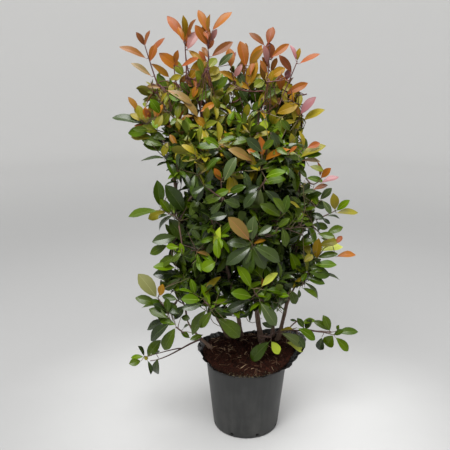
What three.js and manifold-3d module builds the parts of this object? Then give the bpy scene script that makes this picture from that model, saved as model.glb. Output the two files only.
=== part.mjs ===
// A container-grown photinia shrub: several stems rise from one root ball in a round nursery pot, fork into
// boughs, and carry a tall upright crown of glossy leaves whose youngest shoots stand out at the top.
// Millimetres, +Z up, +Y towards the back, origin at the centre of the pot's underside.
//
// A limb is a closed cylinder laid along a curve, a leaf is an octahedron drawn out into a thin folded blade,
// and the pot, root ball and liner are lathed profiles moved to shape by functions of height and direction.

import * as THREE from 'three';
import { mergeVertices } from 'three/addons/utils/BufferGeometryUtils.js';
import Module from 'manifold-3d';

const wasm = await Module();
wasm.setup();

// ---------------------------------------------------------------- driving dimensions

const CLEARANCE = 0.3; // between neighbouring solids
const UP = new THREE.Vector3(0, 0, 1);
const FULL_TURN = 2 * Math.PI;
const GOLDEN_ANGLE = Math.PI * (3 - Math.sqrt(5)); // turn from one twig to the next

const POT = {
  height: 262,
  rimRadius: 145,
  baseRadius: 118,
  wall: 2.6,
  floor: 3.2,
  footRound: 7,
  rimRound: 3,
  sides: 28,
  drainHoles: 8,
  drainSize: [13, 11, 8], // across the wall, along it, and up from the underside
};
const LINER = {
  wall: 1.8,
  tuck: 34, // how far its lower edge reaches down inside the pot
  rimAt: 0.4, // share of its breadth that stays below the rim
  steps: 5,
  flareRound: 5, // how far its free edge leans out all round, and how much more on each side
  flareRight: 66,
  flareLeft: 27,
  curl: 1.4,
  riseFront: 5, // how high its free edge stands over the rim at the front, and how much more elsewhere
  riseBack: 22,
  riseLeft: 14,
  riseRight: 48,
  crumple: 2.2,
};
const SOIL = {
  crownHeight: 306, // top of the root ball at its middle
  fall: 2.4, // the power by which its surface drops towards the edge
  brimAt: 0.8, // how far up the liner its edge reaches, as a share of the liner's breadth
  besideLiner: 2.2,
  lump: 9,
};
const STEM = { sides: 7, steps: 7, tipShare: 0.42, flare: 0.55, flareLength: 26, embed: 3 };
const BOUGH = {
  sides: 5,
  steps: 2,
  radius: 5.2,
  stemShare: 0.72, // its largest radius at the fork, as a share of the stem's
  tipRadius: 3.9,
  shortest: 0.4, // shares of the way from the fork to the heart between which it may end
  longest: 0.9,
  depth: 20, // how far inside its mass's own space it ends
};
const TWIG = {
  sides: 3,
  sideMiddle: -Math.PI / 6, // the direction in which the first of its three sides faces
  sideVaries: 0.3,
  stemSteps: 3,
  sideSteps: 1,
  stemRadius: 6.2,
  sideRadius: 2.8,
  tipRadius: 2.2,
};
const LEAF = {
  length: 130,
  youngLength: 104,
  smallest: 0.82, // of the full length, and how much is added to that by chance
  varies: 0.3,
  width: 0.5, // shares of the length, down to the droop
  thickness: 0.02,
  widestAt: 0.5,
  fold: 0.06,
  droop: 0.1,
  heel: 3, // breadth of its base along the twig
  last: 0.94, // where the last leaf sits, as a share of the twig
  openBelow: 66, // degrees away from the twig, at its first leaf and at its last
  openAbove: 30,
  openVaries: 14,
  sag: 0.22,
};
const CROWN = {
  reach: 122, // from a mass's heart to the ends of its shoots
  nearest: 0.75, // the shortest of them, as a share of the reach
  overhang: 1.22, // how far its leaves may go, as a share of the reach
  apexOut: 0.42, // where its own stem ends, outwards and upwards of the heart, as shares of the reach
  apexUp: 0.66,
  lowest: -0.8, // the spread of its twigs in height, as the sine of their angle from level
  highest: 0.7,
  forkFrom: 0.18, // the stretch of its own stem that the twigs fork from
  forkTo: 0.8,
  leaderForkFrom: 0.35,
  leaderForkTo: 0.65,
  margin: 30, // how far inside its own space a spread twig ends, and how it is shortened to that
  shorten: 0.12,
  sideTwigs: 4,
  leavesOnStem: 3,
  leavesOnTwig: 5,
  firstOnStem: 0.5, // where the first leaf sits, as a share of the shoot
  firstOnTwig: 0.25,
  firstOnLeader: 0.4,
  tries: 9, // places and lengths tried for a leaf before it is left out
  shorter: 0.86, // of the last length, once all the places round the twig are tried
  youngFrom: 1150, // the height above which the shoots are this year's
};

// The stems: where each stands on the root ball, how it leans there (sideways travel for each unit of
// height), its radius above the flare, and where it ends.
const STEMS = {
  stem_1: { foot: [-15, 92], leans: [-0.12, -0.05], radius: 7.6, tip: [-152, 10, 1110] },
  stem_2: { foot: [58, 45], leans: [-0.2, -0.04], radius: 9.2, tip: [30, -22, 1118] },
  stem_3: { foot: [116, 46], leans: [0.24, -0.04], radius: 7.2, tip: [176, 22, 1040] },
  stem_4: { foot: [-126, 4], leans: [-0.8, 0], radius: 5.6, tip: [-214, -12, 440] },
  stem_5: { foot: [-60, 76], leans: [-0.5, -0.08], radius: 7, tip: [-256, -18, 1100] },
  stem_6: { foot: [100, 88], leans: [0.06, 0.04], radius: 6.6, tip: [-14, 96, 1080] },
};

// The masses of foliage. Each keeps to the points nearer to its own heart than to any other's.
// from: the stem that carries it. fork: the height at which its bough leaves that stem; a mass without a
// fork grows on from the stem's tip. bare: the height at which it grows straight from the stem's side.
// tips: ends of the shoots that stand out.
const MASSES = {
  low_front: {
    heart: [78, -40, 372], from: 'stem_3', bare: 345, reach: 80, twigs: 2,
    tips: [[56, -78, 350], [100, -92, 392]],
  },
  low_left: {
    heart: [-290, -30, 305], from: 'stem_4', bare: 335, reach: 95, twigs: 1,
    tips: [[-342, -56, 278], [-302, -70, 272]],
  },
  low_right: {
    heart: [250, -10, 362], from: 'stem_3', bare: 352, reach: 95, twigs: 2,
    tips: [[300, -22, 376], [226, -60, 352]],
  },
  skirt_left: { heart: [-238, -22, 525], from: 'stem_4', tips: [[-300, -50, 580], [-300, -60, 470]] },
  skirt_front_left: { heart: [-118, -135, 505], from: 'stem_5', fork: 420, tips: [] },
  skirt_front_right: { heart: [54, -140, 555], from: 'stem_2', fork: 405, tips: [] },
  skirt_right: { heart: [176, -20, 580], from: 'stem_3', fork: 440, tips: [[262, -20, 655]] },
  skirt_back_right: { heart: [120, 165, 570], from: 'stem_6', fork: 420, tips: [] },
  skirt_back_left: { heart: [-115, 175, 560], from: 'stem_1', fork: 430, tips: [] },
  waist_left: { heart: [-200, -30, 765], from: 'stem_5', fork: 600, tips: [[-312, -50, 795]] },
  waist_front_left: { heart: [-98, -150, 765], from: 'stem_1', fork: 560, tips: [] },
  waist_front_right: { heart: [74, -150, 800], from: 'stem_2', fork: 600, tips: [] },
  waist_right: { heart: [192, -10, 800], from: 'stem_3', fork: 630, tips: [[284, -20, 812]] },
  waist_back_right: { heart: [110, 165, 800], from: 'stem_6', fork: 610, tips: [] },
  waist_back_left: { heart: [-110, 175, 785], from: 'stem_1', fork: 650, tips: [] },
  shoulder_left: { heart: [-245, -20, 1000], from: 'stem_5', fork: 850, tips: [[-352, -50, 1092]] },
  shoulder_front_left: { heart: [-126, -145, 1000], from: 'stem_5', fork: 790, tips: [] },
  shoulder_front_right: { heart: [42, -145, 1030], from: 'stem_2', fork: 820, tips: [] },
  shoulder_right: { heart: [160, -20, 1000], from: 'stem_3', fork: 810, tips: [[195, -60, 1040]] },
  shoulder_back_right: { heart: [95, 160, 1020], from: 'stem_6', fork: 840, tips: [] },
  shoulder_back_left: { heart: [-135, 165, 1020], from: 'stem_1', fork: 850, tips: [] },
  top_left: { heart: [-282, -40, 1215], from: 'stem_5', tips: [[-322, -40, 1338]] },
  top_tall: {
    heart: [-165, -38, 1235], from: 'stem_1',
    tips: [[-204, -10, 1368], [-124, -60, 1378], [-248, -40, 1270]],
  },
  top_back_left: { heart: [-165, 135, 1210], from: 'stem_1', fork: 985, tips: [[-172, 140, 1330]] },
  top_middle: { heart: [-40, 90, 1215], from: 'stem_6', tips: [[-61, 70, 1293], [-15, 90, 1323]] },
  top_front: { heart: [34, -62, 1220], from: 'stem_2', tips: [[67, -50, 1340], [-17, -80, 1290]] },
  top_right: { heart: [152, 12, 1185], from: 'stem_3', tips: [[150, 10, 1290], [190, -20, 1205]] },
};

// ---------------------------------------------------------------- helpers

const { clamp, degToRad, lerp, smoothstep } = THREE.MathUtils;
const vec = (p) => new THREE.Vector3(...p);
const around = (angle, radius, z) => new THREE.Vector3(radius * Math.cos(angle), radius * Math.sin(angle), z);

// A repeatable stream of numbers from 0 to 1.
function seeded(seed) {
  let state = seed >>> 0;
  return () => {
    state = (state + 0x6d2b79f5) >>> 0;
    let t = Math.imul(state ^ (state >>> 15), state | 1);
    t ^= t + Math.imul(t ^ (t >>> 7), t | 61);
    return ((t ^ (t >>> 14)) >>> 0) / 2 ** 32;
  };
}

// A closed geometry as a solid: shared points merged and faces that collapsed to a line left out.
function solidOf(geometry) {
  const bare = new THREE.BufferGeometry();
  bare.setAttribute('position', geometry.getAttribute('position'));
  bare.setIndex(geometry.index);
  const merged = mergeVertices(bare, 1e-3);
  const corners = merged.index.array;
  const kept = [];
  for (let i = 0; i < corners.length; i += 3) {
    const [a, b, c] = [corners[i], corners[i + 1], corners[i + 2]];
    if (a !== b && b !== c && a !== c) kept.push(a, b, c);
  }
  const vertProperties = new Float32Array(merged.getAttribute('position').array);
  const triVerts = new Uint32Array(kept);
  return new wasm.Manifold(new wasm.Mesh({ numProp: 3, vertProperties, triVerts }));
}

function geometryOf(solid) {
  const { vertProperties, triVerts } = solid.getMesh();
  const indexed = new THREE.BufferGeometry();
  indexed.setAttribute('position', new THREE.BufferAttribute(vertProperties, 3));
  indexed.setIndex(new THREE.BufferAttribute(triVerts, 1));
  const faceted = indexed.toNonIndexed();
  faceted.computeVertexNormals();
  return faceted;
}

// The largest body of a solid. Loose scraps and sealed hollows are left out.
function mainBody(solid) {
  return solid.decompose().reduce((a, b) => (a.volume() > b.volume() ? a : b));
}

// A three.js geometry with each of its points moved by a function.
function reshaped(geometry, move) {
  const points = geometry.getAttribute('position');
  for (let i = 0; i < points.count; i += 1) {
    const p = move(new THREE.Vector3().fromBufferAttribute(points, i));
    points.setXYZ(i, p.x, p.y, p.z);
  }
  return geometry;
}

// A solid with its corners and its box at hand.
function pieceOf(solid) {
  const { vertProperties } = solid.getMesh();
  const corners = Array.from({ length: vertProperties.length / 3 }, (_, i) => (
    new THREE.Vector3().fromArray(vertProperties, 3 * i)));
  return { solid, corners, box: new THREE.Box3().setFromPoints(corners) };
}

const touches = (piece, other) =>
  piece.box.intersectsBox(other.box) && !piece.solid.intersect(other.solid).isEmpty();

// ---------------------------------------------------------------- limbs and leaves

const turnTo = (along) => new THREE.Quaternion().setFromUnitVectors(UP, along);

// A tapering limb along a curve, radiusAt(t) giving its radius from t = 0 at the foot to 1 at the tip.
function limbSolid(curve, radiusAt, sides, steps) {
  const bar = new THREE.CylinderGeometry(1, 1, 1, sides, steps).rotateX(Math.PI / 2);
  return solidOf(reshaped(bar, (p) => {
    const t = clamp(p.z + 0.5, 0, 1);
    const across = new THREE.Vector3(p.x, p.y, 0).multiplyScalar(radiusAt(t));
    return across.applyQuaternion(turnTo(curve.getTangent(t))).add(curve.getPoint(t));
  }));
}

const taper = (foot, tip) => (t) => lerp(foot, tip, t);

// A smooth limb from start to end that leaves along one direction and arrives along another.
function limbCurve(start, leaving, end, arriving) {
  const third = start.distanceTo(end) / 3;
  return new THREE.CubicBezierCurve3(
    start,
    start.clone().addScaledVector(leaving, third),
    end.clone().addScaledVector(arriving, -third),
    end,
  );
}

// A place on the middle line of a limb's faceted solid.
function middleOf(curve, t, steps) {
  const step = Math.min(steps - 1, Math.floor(t * steps));
  return curve.getPoint(step / steps).lerp(curve.getPoint((step + 1) / steps), t * steps - step);
}

// The leaves of one shoot, set on its sides in turn, opening wide below and closing towards the tip.
function leavesOf({ curve, steps, first }, count, fullLength, random) {
  const turn = Math.floor(random() * TWIG.sides);
  return Array.from({ length: count }, (_, i) => {
    const share = i / (count - 1);
    const t = lerp(first, LEAF.last, share);
    const opening = lerp(LEAF.openBelow, LEAF.openAbove, share) + LEAF.openVaries * (random() - 0.5);
    const offset = TWIG.sideMiddle + TWIG.sideVaries * (random() - 0.5);
    return {
      point: middleOf(curve, t, steps),
      shoot: curve.getTangent(t),
      angle: ((turn + i) * FULL_TURN) / TWIG.sides + offset,
      opening: degToRad(opening),
      sag: LEAF.sag * (1 - share),
      fullLength: fullLength * (LEAF.smallest + LEAF.varies * random()),
    };
  });
}

// A leaf on a shoot, its place moved on by a number of steps round the shoot's sides. Its base lies on the
// shoot's middle line and its upper side faces the shoot's tip and the sky. The octahedron's corners become
// the two ends of the base, both margins, the tip and the rib underneath.
function leafSolid({ point, shoot, angle, opening, sag, fullLength }, steps) {
  const place = angle + (steps * FULL_TURN) / TWIG.sides;
  const length = fullLength * CROWN.shorter ** Math.floor(steps / TWIG.sides);
  const along = shoot.clone().multiplyScalar(Math.cos(opening))
    .addScaledVector(around(place, 1, 0).applyQuaternion(turnTo(shoot)), Math.sin(opening))
    .addScaledVector(UP, -sag).normalize();
  const upper = shoot.clone().add(UP);
  upper.addScaledVector(along, -upper.dot(along)).normalize();
  const across = upper.clone().cross(along);
  const heel = new THREE.Vector3(shoot.dot(along), shoot.dot(across), shoot.dot(upper))
    .multiplyScalar(LEAF.heel / 2);
  const middle = LEAF.widestAt * length;
  const ribDepth = (LEAF.droop * LEAF.widestAt + LEAF.thickness) * length;
  const blade = reshaped(new THREE.OctahedronGeometry(1), (p) => {
    if (p.x > 0.5) return new THREE.Vector3(length, 0, -LEAF.droop * length);
    if (p.x < -0.5) return heel.clone().negate();
    if (p.z > 0.5) return heel;
    if (p.z < -0.5) return new THREE.Vector3(middle, 0, -ribDepth);
    return new THREE.Vector3(middle, (p.y * LEAF.width * length) / 2, LEAF.fold * length);
  });
  return solidOf(blade.applyMatrix4(new THREE.Matrix4().makeBasis(along, across, upper).setPosition(point)));
}

// ---------------------------------------------------------------- pot, liner and root ball

const innerRadius = (z) => lerp(POT.baseRadius, POT.rimRadius, z / POT.height) - POT.wall;

function lathed(profile, sides) {
  return new THREE.LatheGeometry(profile.map(([r, z]) => new THREE.Vector2(r, z)), sides)
    .rotateX(Math.PI / 2);
}

function potSolid() {
  const { height, rimRadius, baseRadius, wall, floor, footRound, rimRound, sides } = POT;
  const shell = solidOf(lathed([
    [0, 0],
    [baseRadius - footRound, 0],
    [baseRadius - footRound * 0.3, footRound * 0.3],
    [baseRadius + 0.6, footRound],
    [rimRadius, height - rimRound],
    [rimRadius - 0.5, height],
    [rimRadius - wall, height],
    [innerRadius(floor + 3), floor + 3],
    [innerRadius(floor) - 3, floor],
    [0, floor],
  ], sides));
  const [deep, wide, tall] = POT.drainSize;
  return Array.from({ length: POT.drainHoles }, (_, i) => {
    const hole = new THREE.BoxGeometry(deep, wide, tall).translate(baseRadius - 1, 0, tall / 2 - 0.5);
    return hole.rotateZ(((i + 0.5) * FULL_TURN) / POT.drainHoles);
  }).reduce((pot, hole) => pot.subtract(solidOf(hole)), shell);
}

// How far the liner leans out past the rim, and how high it stands, in each direction round the pot.
function linerFlare(angle) {
  const right = Math.max(0, Math.cos(angle - 0.12)) ** 2;
  const left = Math.max(0, -Math.cos(angle + 0.25)) ** 2;
  const away = 1 - smoothstep(-Math.sin(angle), 0.05, 1.05); // 0 at the front, where it is folded down
  const crumple = LINER.crumple * away * (Math.sin(5 * angle + 1) + 0.6 * Math.sin(8 * angle + 2));
  return {
    out: LINER.flareRound + LINER.flareRight * right + LINER.flareLeft * left + crumple,
    rise: LINER.riseFront + crumple
      + away * (LINER.riseBack + LINER.riseLeft * left + LINER.riseRight * right),
  };
}

// A point of the liner, share running from its tucked lower edge at 0 to its free edge at 1.
function linerPoint(angle, share, offset) {
  const { out, rise } = linerFlare(angle);
  const below = Math.max(0, 1 - share / LINER.rimAt);
  const over = Math.max(0, (share - LINER.rimAt) / (1 - LINER.rimAt));
  const z = POT.height - LINER.tuck * below + rise * over;
  const middle = innerRadius(Math.min(z, POT.height)) - CLEARANCE - LINER.wall / 2;
  return around(angle, middle + out * over ** LINER.curl + offset, z);
}

function linerSolid() {
  const shares = Array.from({ length: LINER.steps + 1 }, (_, i) => i / LINER.steps);
  const [inner, outer] = [1, 2]; // radii that stand for the two faces until the points are moved
  const profile = [
    ...shares.map((share) => [outer, share]),
    ...shares.toReversed().map((share) => [inner, share]),
    [outer, 0],
  ];
  return solidOf(reshaped(lathed(profile, POT.sides), (p) => {
    const side = Math.hypot(p.x, p.y) > (inner + outer) / 2 ? 1 : -1;
    return linerPoint(Math.atan2(p.y, p.x), p.z, (side * LINER.wall) / 2);
  }));
}

// The root ball's edge beside the liner, at a share of the liner's breadth.
const soilBeside = (angle, share) => linerPoint(angle, share, -LINER.wall / 2 - SOIL.besideLiner);

// The root ball's upper surface at a share of its radius (1 at its edge), in each direction.
function soilSurface(angle, share) {
  const edge = soilBeside(angle, SOIL.brimAt);
  const lumps = Math.sin(3 * angle + 7 * share) + Math.sin(5 * angle - 11 * share + 2);
  const z = lerp(SOIL.crownHeight, edge.z, share ** SOIL.fall) + SOIL.lump * share * (1 - share) * lumps;
  return around(angle, Math.hypot(edge.x, edge.y) * share, z);
}

// The height of the root ball's surface under a foot at x, y.
function groundAt(x, y) {
  const angle = Math.atan2(y, x);
  const edge = soilBeside(angle, SOIL.brimAt);
  return soilSurface(angle, Math.min(1, Math.hypot(x, y) / Math.hypot(edge.x, edge.y))).z;
}

function soilSolid() {
  const bottom = POT.floor + 2 * CLEARANCE;
  const underLiner = POT.height - LINER.tuck - CLEARANCE;
  const inset = LINER.wall + SOIL.besideLiner + CLEARANCE;
  // Heights under 1 stand for the underside and the side, heights from 2 for the upper surface.
  const profile = [
    [0, 0],
    [1, 0],
    [1, 0.2],
    [1, LINER.rimAt],
    [1, 0.6],
    [1, SOIL.brimAt],
    ...[0.8, 0.55, 0.28, 0].map((share) => [share, 3 - share]),
  ];
  return solidOf(reshaped(lathed(profile, POT.sides), (p) => {
    const share = Math.hypot(p.x, p.y);
    const angle = Math.atan2(p.y, p.x);
    if (p.z >= 2) return soilSurface(angle, share);
    if (p.z >= LINER.rimAt) return soilBeside(angle, p.z);
    if (p.z > 0) return around(angle, innerRadius(underLiner) - inset, underLiner);
    return around(angle, (innerRadius(bottom) - inset - 2 * POT.wall) * share, bottom);
  }));
}

// ---------------------------------------------------------------- stems and boughs

const limbs = []; // the name, solid and grown solid of every stem and bough

// A limb, cut clear of all those before it. Its grown solid is the space that others keep out of.
function addLimb(name, curve, radiusAt, sides, steps) {
  const grown = limbSolid(curve, (t) => radiusAt(t) + CLEARANCE, sides, steps);
  const whole = limbs.reduce(
    (solid, other) => solid.subtract(other.grown),
    limbSolid(curve, radiusAt, sides, steps),
  );
  limbs.push({ name, solid: mainBody(whole), grown });
  return curve;
}

function growStem([name, { foot, leans, radius, tip }]) {
  const start = new THREE.Vector3(...foot, groundAt(...foot) - STEM.embed);
  const end = vec(tip);
  const curve = limbCurve(start, new THREE.Vector3(...leans, 1).normalize(), end, UP);
  const length = start.distanceTo(end);
  const radiusAt = (t) => radius * (1 - (1 - STEM.tipShare) * t
    + STEM.flare * Math.exp((-t * length) / STEM.flareLength));
  return addLimb(name, curve, radiusAt, STEM.sides, STEM.steps);
}

// How far along a rising curve it reaches a height.
function atHeight(curve, z) {
  let low = 0;
  let high = 1;
  for (let i = 0; i < 30; i += 1) {
    const t = (low + high) / 2;
    if (curve.getPoint(t).z < z) low = t;
    else high = t;
  }
  return low;
}

const hearts = Object.entries(MASSES).map(([name, { heart }]) => ({ name, heart: vec(heart) }));

// How much nearer a point is to a mass's own heart than to the nearest other.
function inside(name, point) {
  let own = 0;
  let other = Infinity;
  for (const each of hearts) {
    const distance = each.heart.distanceTo(point);
    if (each.name === name) own = distance;
    else other = Math.min(other, distance);
  }
  return other - own;
}

// Where the way from a fork to a mass's heart is well inside the mass's own space.
function entryPoint(name, from, heart) {
  const step = 0.02;
  for (let share = BOUGH.shortest; share < BOUGH.longest; share += step) {
    const point = from.clone().lerp(heart, share);
    if (inside(name, point) > BOUGH.depth) return point;
  }
  return from.clone().lerp(heart, BOUGH.longest);
}

function growBough([name, { heart, from, fork }], stems) {
  const stem = stems[from];
  const t = atHeight(stem, fork);
  const start = stem.getPoint(t);
  const centre = vec(heart);
  const end = entryPoint(name, start, centre);
  const way = centre.clone().sub(start).normalize();
  const leaving = stem.getTangent(t).multiplyScalar(0.7).addScaledVector(way, 0.6).normalize();
  const arriving = way.clone().addScaledVector(UP, 0.25).normalize();
  const foot = Math.min(BOUGH.radius, STEMS[from].radius * BOUGH.stemShare);
  const curve = limbCurve(start, leaving, end, arriving);
  return addLimb(`bough_${name}`, curve, taper(foot, BOUGH.tipRadius), BOUGH.sides, BOUGH.steps);
}

// ---------------------------------------------------------------- foliage

const reachOf = (mass) => mass.reach ?? CROWN.reach;

// A mass's own stem: on from a limb's tip, or out of a stem's side, to the mass's apex.
function ownStem(mass, stem, carrier) {
  const heart = vec(mass.heart);
  const outward = new THREE.Vector3(heart.x + 20, heart.y - 20, 0).normalize();
  if (mass.bare) {
    const start = stem.getPoint(atHeight(stem, mass.bare));
    return limbCurve(start, heart.sub(start).normalize(), vec(mass.tips[0]), outward);
  }
  const leaving = carrier.getTangent(1);
  const start = carrier.getPoint(1).addScaledVector(leaving, CLEARANCE);
  const apex = heart.addScaledVector(outward, CROWN.apexOut * reachOf(mass))
    .addScaledVector(UP, CROWN.apexUp * reachOf(mass));
  return limbCurve(start, leaving, apex, outward.multiplyScalar(0.4).add(UP).normalize());
}

// The twigs of a mass: first those spread evenly about its heart, then those that stand out.
function twigsOf(name, mass, stem, random) {
  const heart = vec(mass.heart);
  const count = mass.twigs ?? CROWN.sideTwigs;
  const turn = random() * FULL_TURN;
  const twig = { radius: TWIG.sideRadius, steps: TWIG.sideSteps };
  const spread = Array.from({ length: count }, (_, i) => {
    const share = (i + 0.5) / count;
    const level = lerp(CROWN.lowest, CROWN.highest, share);
    const way = around(turn + i * GOLDEN_ANGLE, Math.sqrt(1 - level * level), level);
    const tip = heart.clone().addScaledVector(way, reachOf(mass) * lerp(CROWN.nearest, 1, random()));
    while (inside(name, tip) < CROWN.margin && tip.distanceTo(heart) > CROWN.margin) {
      tip.lerp(heart, CROWN.shorten);
    }
    const start = middleOf(stem, lerp(CROWN.forkFrom, CROWN.forkTo, share), TWIG.stemSteps);
    return { ...twig, curve: new THREE.LineCurve3(start, tip), first: CROWN.firstOnTwig };
  });
  const leaders = (mass.bare ? mass.tips.slice(1) : mass.tips).map((tip) => {
    const fork = lerp(CROWN.leaderForkFrom, CROWN.leaderForkTo, random());
    const start = middleOf(stem, fork, TWIG.stemSteps);
    const curve = new THREE.LineCurve3(start, vec(tip));
    return { ...twig, curve, first: CROWN.firstOnLeader, standsOut: true };
  });
  return [...spread, ...leaders];
}

// A mass grows from its own stem. A twig or leaf is left out where it would leave the mass's own space, or
// touch a limb, the pot, the root ball or another twig or leaf.
function growMass([name, mass], index, stem, carrier, obstacles) {
  const random = seeded(500 + 17 * index);
  const heart = vec(mass.heart);
  const limit = reachOf(mass) * CROWN.overhang;
  const length = mass.heart[2] > CROWN.youngFrom ? LEAF.youngLength : LEAF.length;
  const fits = ({ corners }) => corners.every((p) => inside(name, p) > 2 * CLEARANCE);
  const own = {
    curve: ownStem(mass, stem, carrier),
    radius: TWIG.stemRadius,
    steps: TWIG.stemSteps,
    first: CROWN.firstOnStem,
    standsOut: true,
  };
  const pieces = [];
  [own, ...twigsOf(name, mass, own.curve, random)].forEach((shoot) => {
    const radiusAt = taper(shoot.radius, TWIG.tipRadius);
    const twig = pieceOf(limbSolid(shoot.curve, radiusAt, TWIG.sides, shoot.steps));
    const count = shoot === own ? CROWN.leavesOnStem : CROWN.leavesOnTwig;
    const leaves = leavesOf(shoot, count, length, random);
    if (shoot !== own && (!fits(twig) || obstacles.some((other) => touches(twig, other)))) return;
    const others = [...obstacles, ...pieces];
    pieces.push(twig);
    leaves.forEach((leaf) => {
      for (let steps = 0; steps < CROWN.tries; steps += 1) {
        const blade = pieceOf(leafSolid(leaf, steps));
        const near = shoot.standsOut || blade.corners.every((p) => p.distanceTo(heart) < limit);
        if (near && fits(blade) && !others.some((other) => touches(blade, other))) {
          others.push(blade);
          pieces.push(blade);
          return;
        }
      }
    });
  });
  const joined = wasm.Manifold.union(pieces.map(({ solid }) => solid));
  return mainBody(limbs.reduce((solid, limb) => solid.subtract(limb.grown), joined));
}

// ---------------------------------------------------------------- assembly

const FINISH = {
  pot: new THREE.MeshStandardMaterial({ color: 0x3a3d3f, roughness: 0.55 }),
  liner: new THREE.MeshStandardMaterial({ color: 0x121414, roughness: 0.35 }),
  soil: new THREE.MeshStandardMaterial({ color: 0x2a1a14, roughness: 1 }),
  bark: new THREE.MeshStandardMaterial({ color: 0x4f3d33, roughness: 0.85 }),
  leaf: new THREE.MeshStandardMaterial({ color: 0x2c4a1e, roughness: 0.4 }),
  youngLeaf: new THREE.MeshStandardMaterial({ color: 0xa8562c, roughness: 0.4 }),
};

const shrub = new THREE.Group();

function add(name, solid, finish) {
  const mesh = new THREE.Mesh(geometryOf(solid), finish.clone());
  mesh.name = name;
  shrub.add(mesh);
}

const stems = {};
Object.entries(STEMS).forEach((entry) => {
  stems[entry[0]] = growStem(entry);
});
const boughs = {};
Object.entries(MASSES).filter(([, mass]) => mass.fork).forEach((entry) => {
  boughs[entry[0]] = growBough(entry, stems);
});

const pot = potSolid();
const liner = linerSolid();
const soil = mainBody(limbs.reduce((solid, limb) => solid.subtract(limb.grown), soilSolid()));
const obstacles = [pot, liner, soil, ...limbs.map((limb) => limb.grown)].map(pieceOf);

add('pot', pot, FINISH.pot);
add('liner', liner, FINISH.liner);
add('root_ball', soil, FINISH.soil);
limbs.forEach(({ name, solid }) => add(name, solid, FINISH.bark));
Object.entries(MASSES).forEach((entry, index) => {
  const [name, mass] = entry;
  const stem = stems[mass.from];
  const solid = growMass(entry, index, stem, boughs[name] ?? stem, obstacles);
  add(`foliage_${name}`, solid, mass.heart[2] > CROWN.youngFrom ? FINISH.youngLeaf : FINISH.leaf);
});

export default shrub;
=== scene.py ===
"""A container-grown photinia shrub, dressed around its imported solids.

Six stems rise from one root ball in a round nursery pot, fork into boughs and carry a tall upright crown of
glossy leaves with bronze, orange and red young shoots at the top. The limbs and twigs follow the same named
sizes and the same seeded rule as the solids, and go on from them to finer twigs and life-sized leaves.
Sizes are in millimetres until a mesh is made; +Z is up and +Y is the back of the shrub.
"""

import logging
import math
from collections.abc import Callable
from dataclasses import dataclass, field
from enum import Enum

import bpy
import numpy as np
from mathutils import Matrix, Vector

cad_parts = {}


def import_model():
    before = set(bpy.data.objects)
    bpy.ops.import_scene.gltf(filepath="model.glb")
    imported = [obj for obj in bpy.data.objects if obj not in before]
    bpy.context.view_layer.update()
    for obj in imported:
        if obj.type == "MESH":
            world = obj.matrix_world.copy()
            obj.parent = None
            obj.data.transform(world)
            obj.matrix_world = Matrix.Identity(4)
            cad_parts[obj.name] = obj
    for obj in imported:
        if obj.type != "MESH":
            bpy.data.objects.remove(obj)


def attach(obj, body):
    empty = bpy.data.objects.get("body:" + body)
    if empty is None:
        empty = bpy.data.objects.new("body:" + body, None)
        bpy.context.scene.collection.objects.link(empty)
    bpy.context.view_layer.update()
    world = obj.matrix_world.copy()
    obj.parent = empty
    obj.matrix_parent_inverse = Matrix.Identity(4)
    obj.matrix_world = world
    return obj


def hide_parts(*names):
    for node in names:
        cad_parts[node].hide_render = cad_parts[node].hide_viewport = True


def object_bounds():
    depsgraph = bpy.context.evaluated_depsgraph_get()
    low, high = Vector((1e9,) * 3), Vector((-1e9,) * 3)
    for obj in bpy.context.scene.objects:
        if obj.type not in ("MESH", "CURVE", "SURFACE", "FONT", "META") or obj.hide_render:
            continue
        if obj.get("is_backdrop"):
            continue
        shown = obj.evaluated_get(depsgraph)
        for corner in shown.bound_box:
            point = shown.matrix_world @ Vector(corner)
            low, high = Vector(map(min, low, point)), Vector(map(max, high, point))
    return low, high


LOG = logging.getLogger("photinia")
Array = np.ndarray
Pair = tuple[float, float]
Triple = tuple[float, float, float]
Colour = Triple

MM = 0.001
UP = np.array([0.0, 0.0, 1.0])
FULL_TURN = 2 * math.pi
GOLDEN_ANGLE = math.pi * (3 - math.sqrt(5))
CLEARANCE = 0.3
TINY = 1e-9


# ---------------------------------------------------------------- small maths


def vec(*numbers: float) -> Array:
    """A point or direction as an array."""
    return np.array(numbers, dtype=float)


def unit(vectors: Array) -> Array:
    """The same direction or directions, each of length 1."""
    return vectors / np.maximum(np.linalg.norm(vectors, axis=-1, keepdims=True), TINY)


def lerp(start: float | Array, end: float | Array, share: float | Array) -> float | Array:
    """The value a share of the way from start to end."""
    return start + (end - start) * share


def smoothstep(value: float | Array, low: float, high: float) -> float | Array:
    """A smooth rise from 0 at low to 1 at high."""
    share = np.clip((value - low) / (high - low), 0.0, 1.0)
    return share * share * (3 - 2 * share)


def around(angle: float | Array, radius: float | Array, height: float | Array) -> Array:
    """The point or points at an angle and radius about the vertical axis."""
    parts = np.broadcast_arrays(radius * np.cos(angle), radius * np.sin(angle), height)
    return np.stack(parts, axis=-1).astype(float)


def ring_angles(sides: int) -> Array:
    """The directions of a ring's points, evenly spaced."""
    return np.arange(sides) * FULL_TURN / sides


def squared(waves: Array, power: float) -> Array:
    """Sines or cosines pressed towards -1 and 1, which makes a ring of points squarer."""
    return np.sign(waves) * np.abs(waves) ** power


def turned_from_up(vectors: Array, along: Array) -> Array:
    """Vectors carried by the shortest turn that takes +Z to a direction.

    Args:
        vectors: One vector or rows of them, as they are where the direction is +Z.
        along: The direction, of length 1.

    Returns:
        The turned vectors, in the same shape.
    """
    both = UP + along
    scale = (vectors @ both) / max(1.0 + float(along[2]), TINY)
    return vectors - scale[..., None] * both + 2 * vectors[..., 2, None] * along


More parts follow.
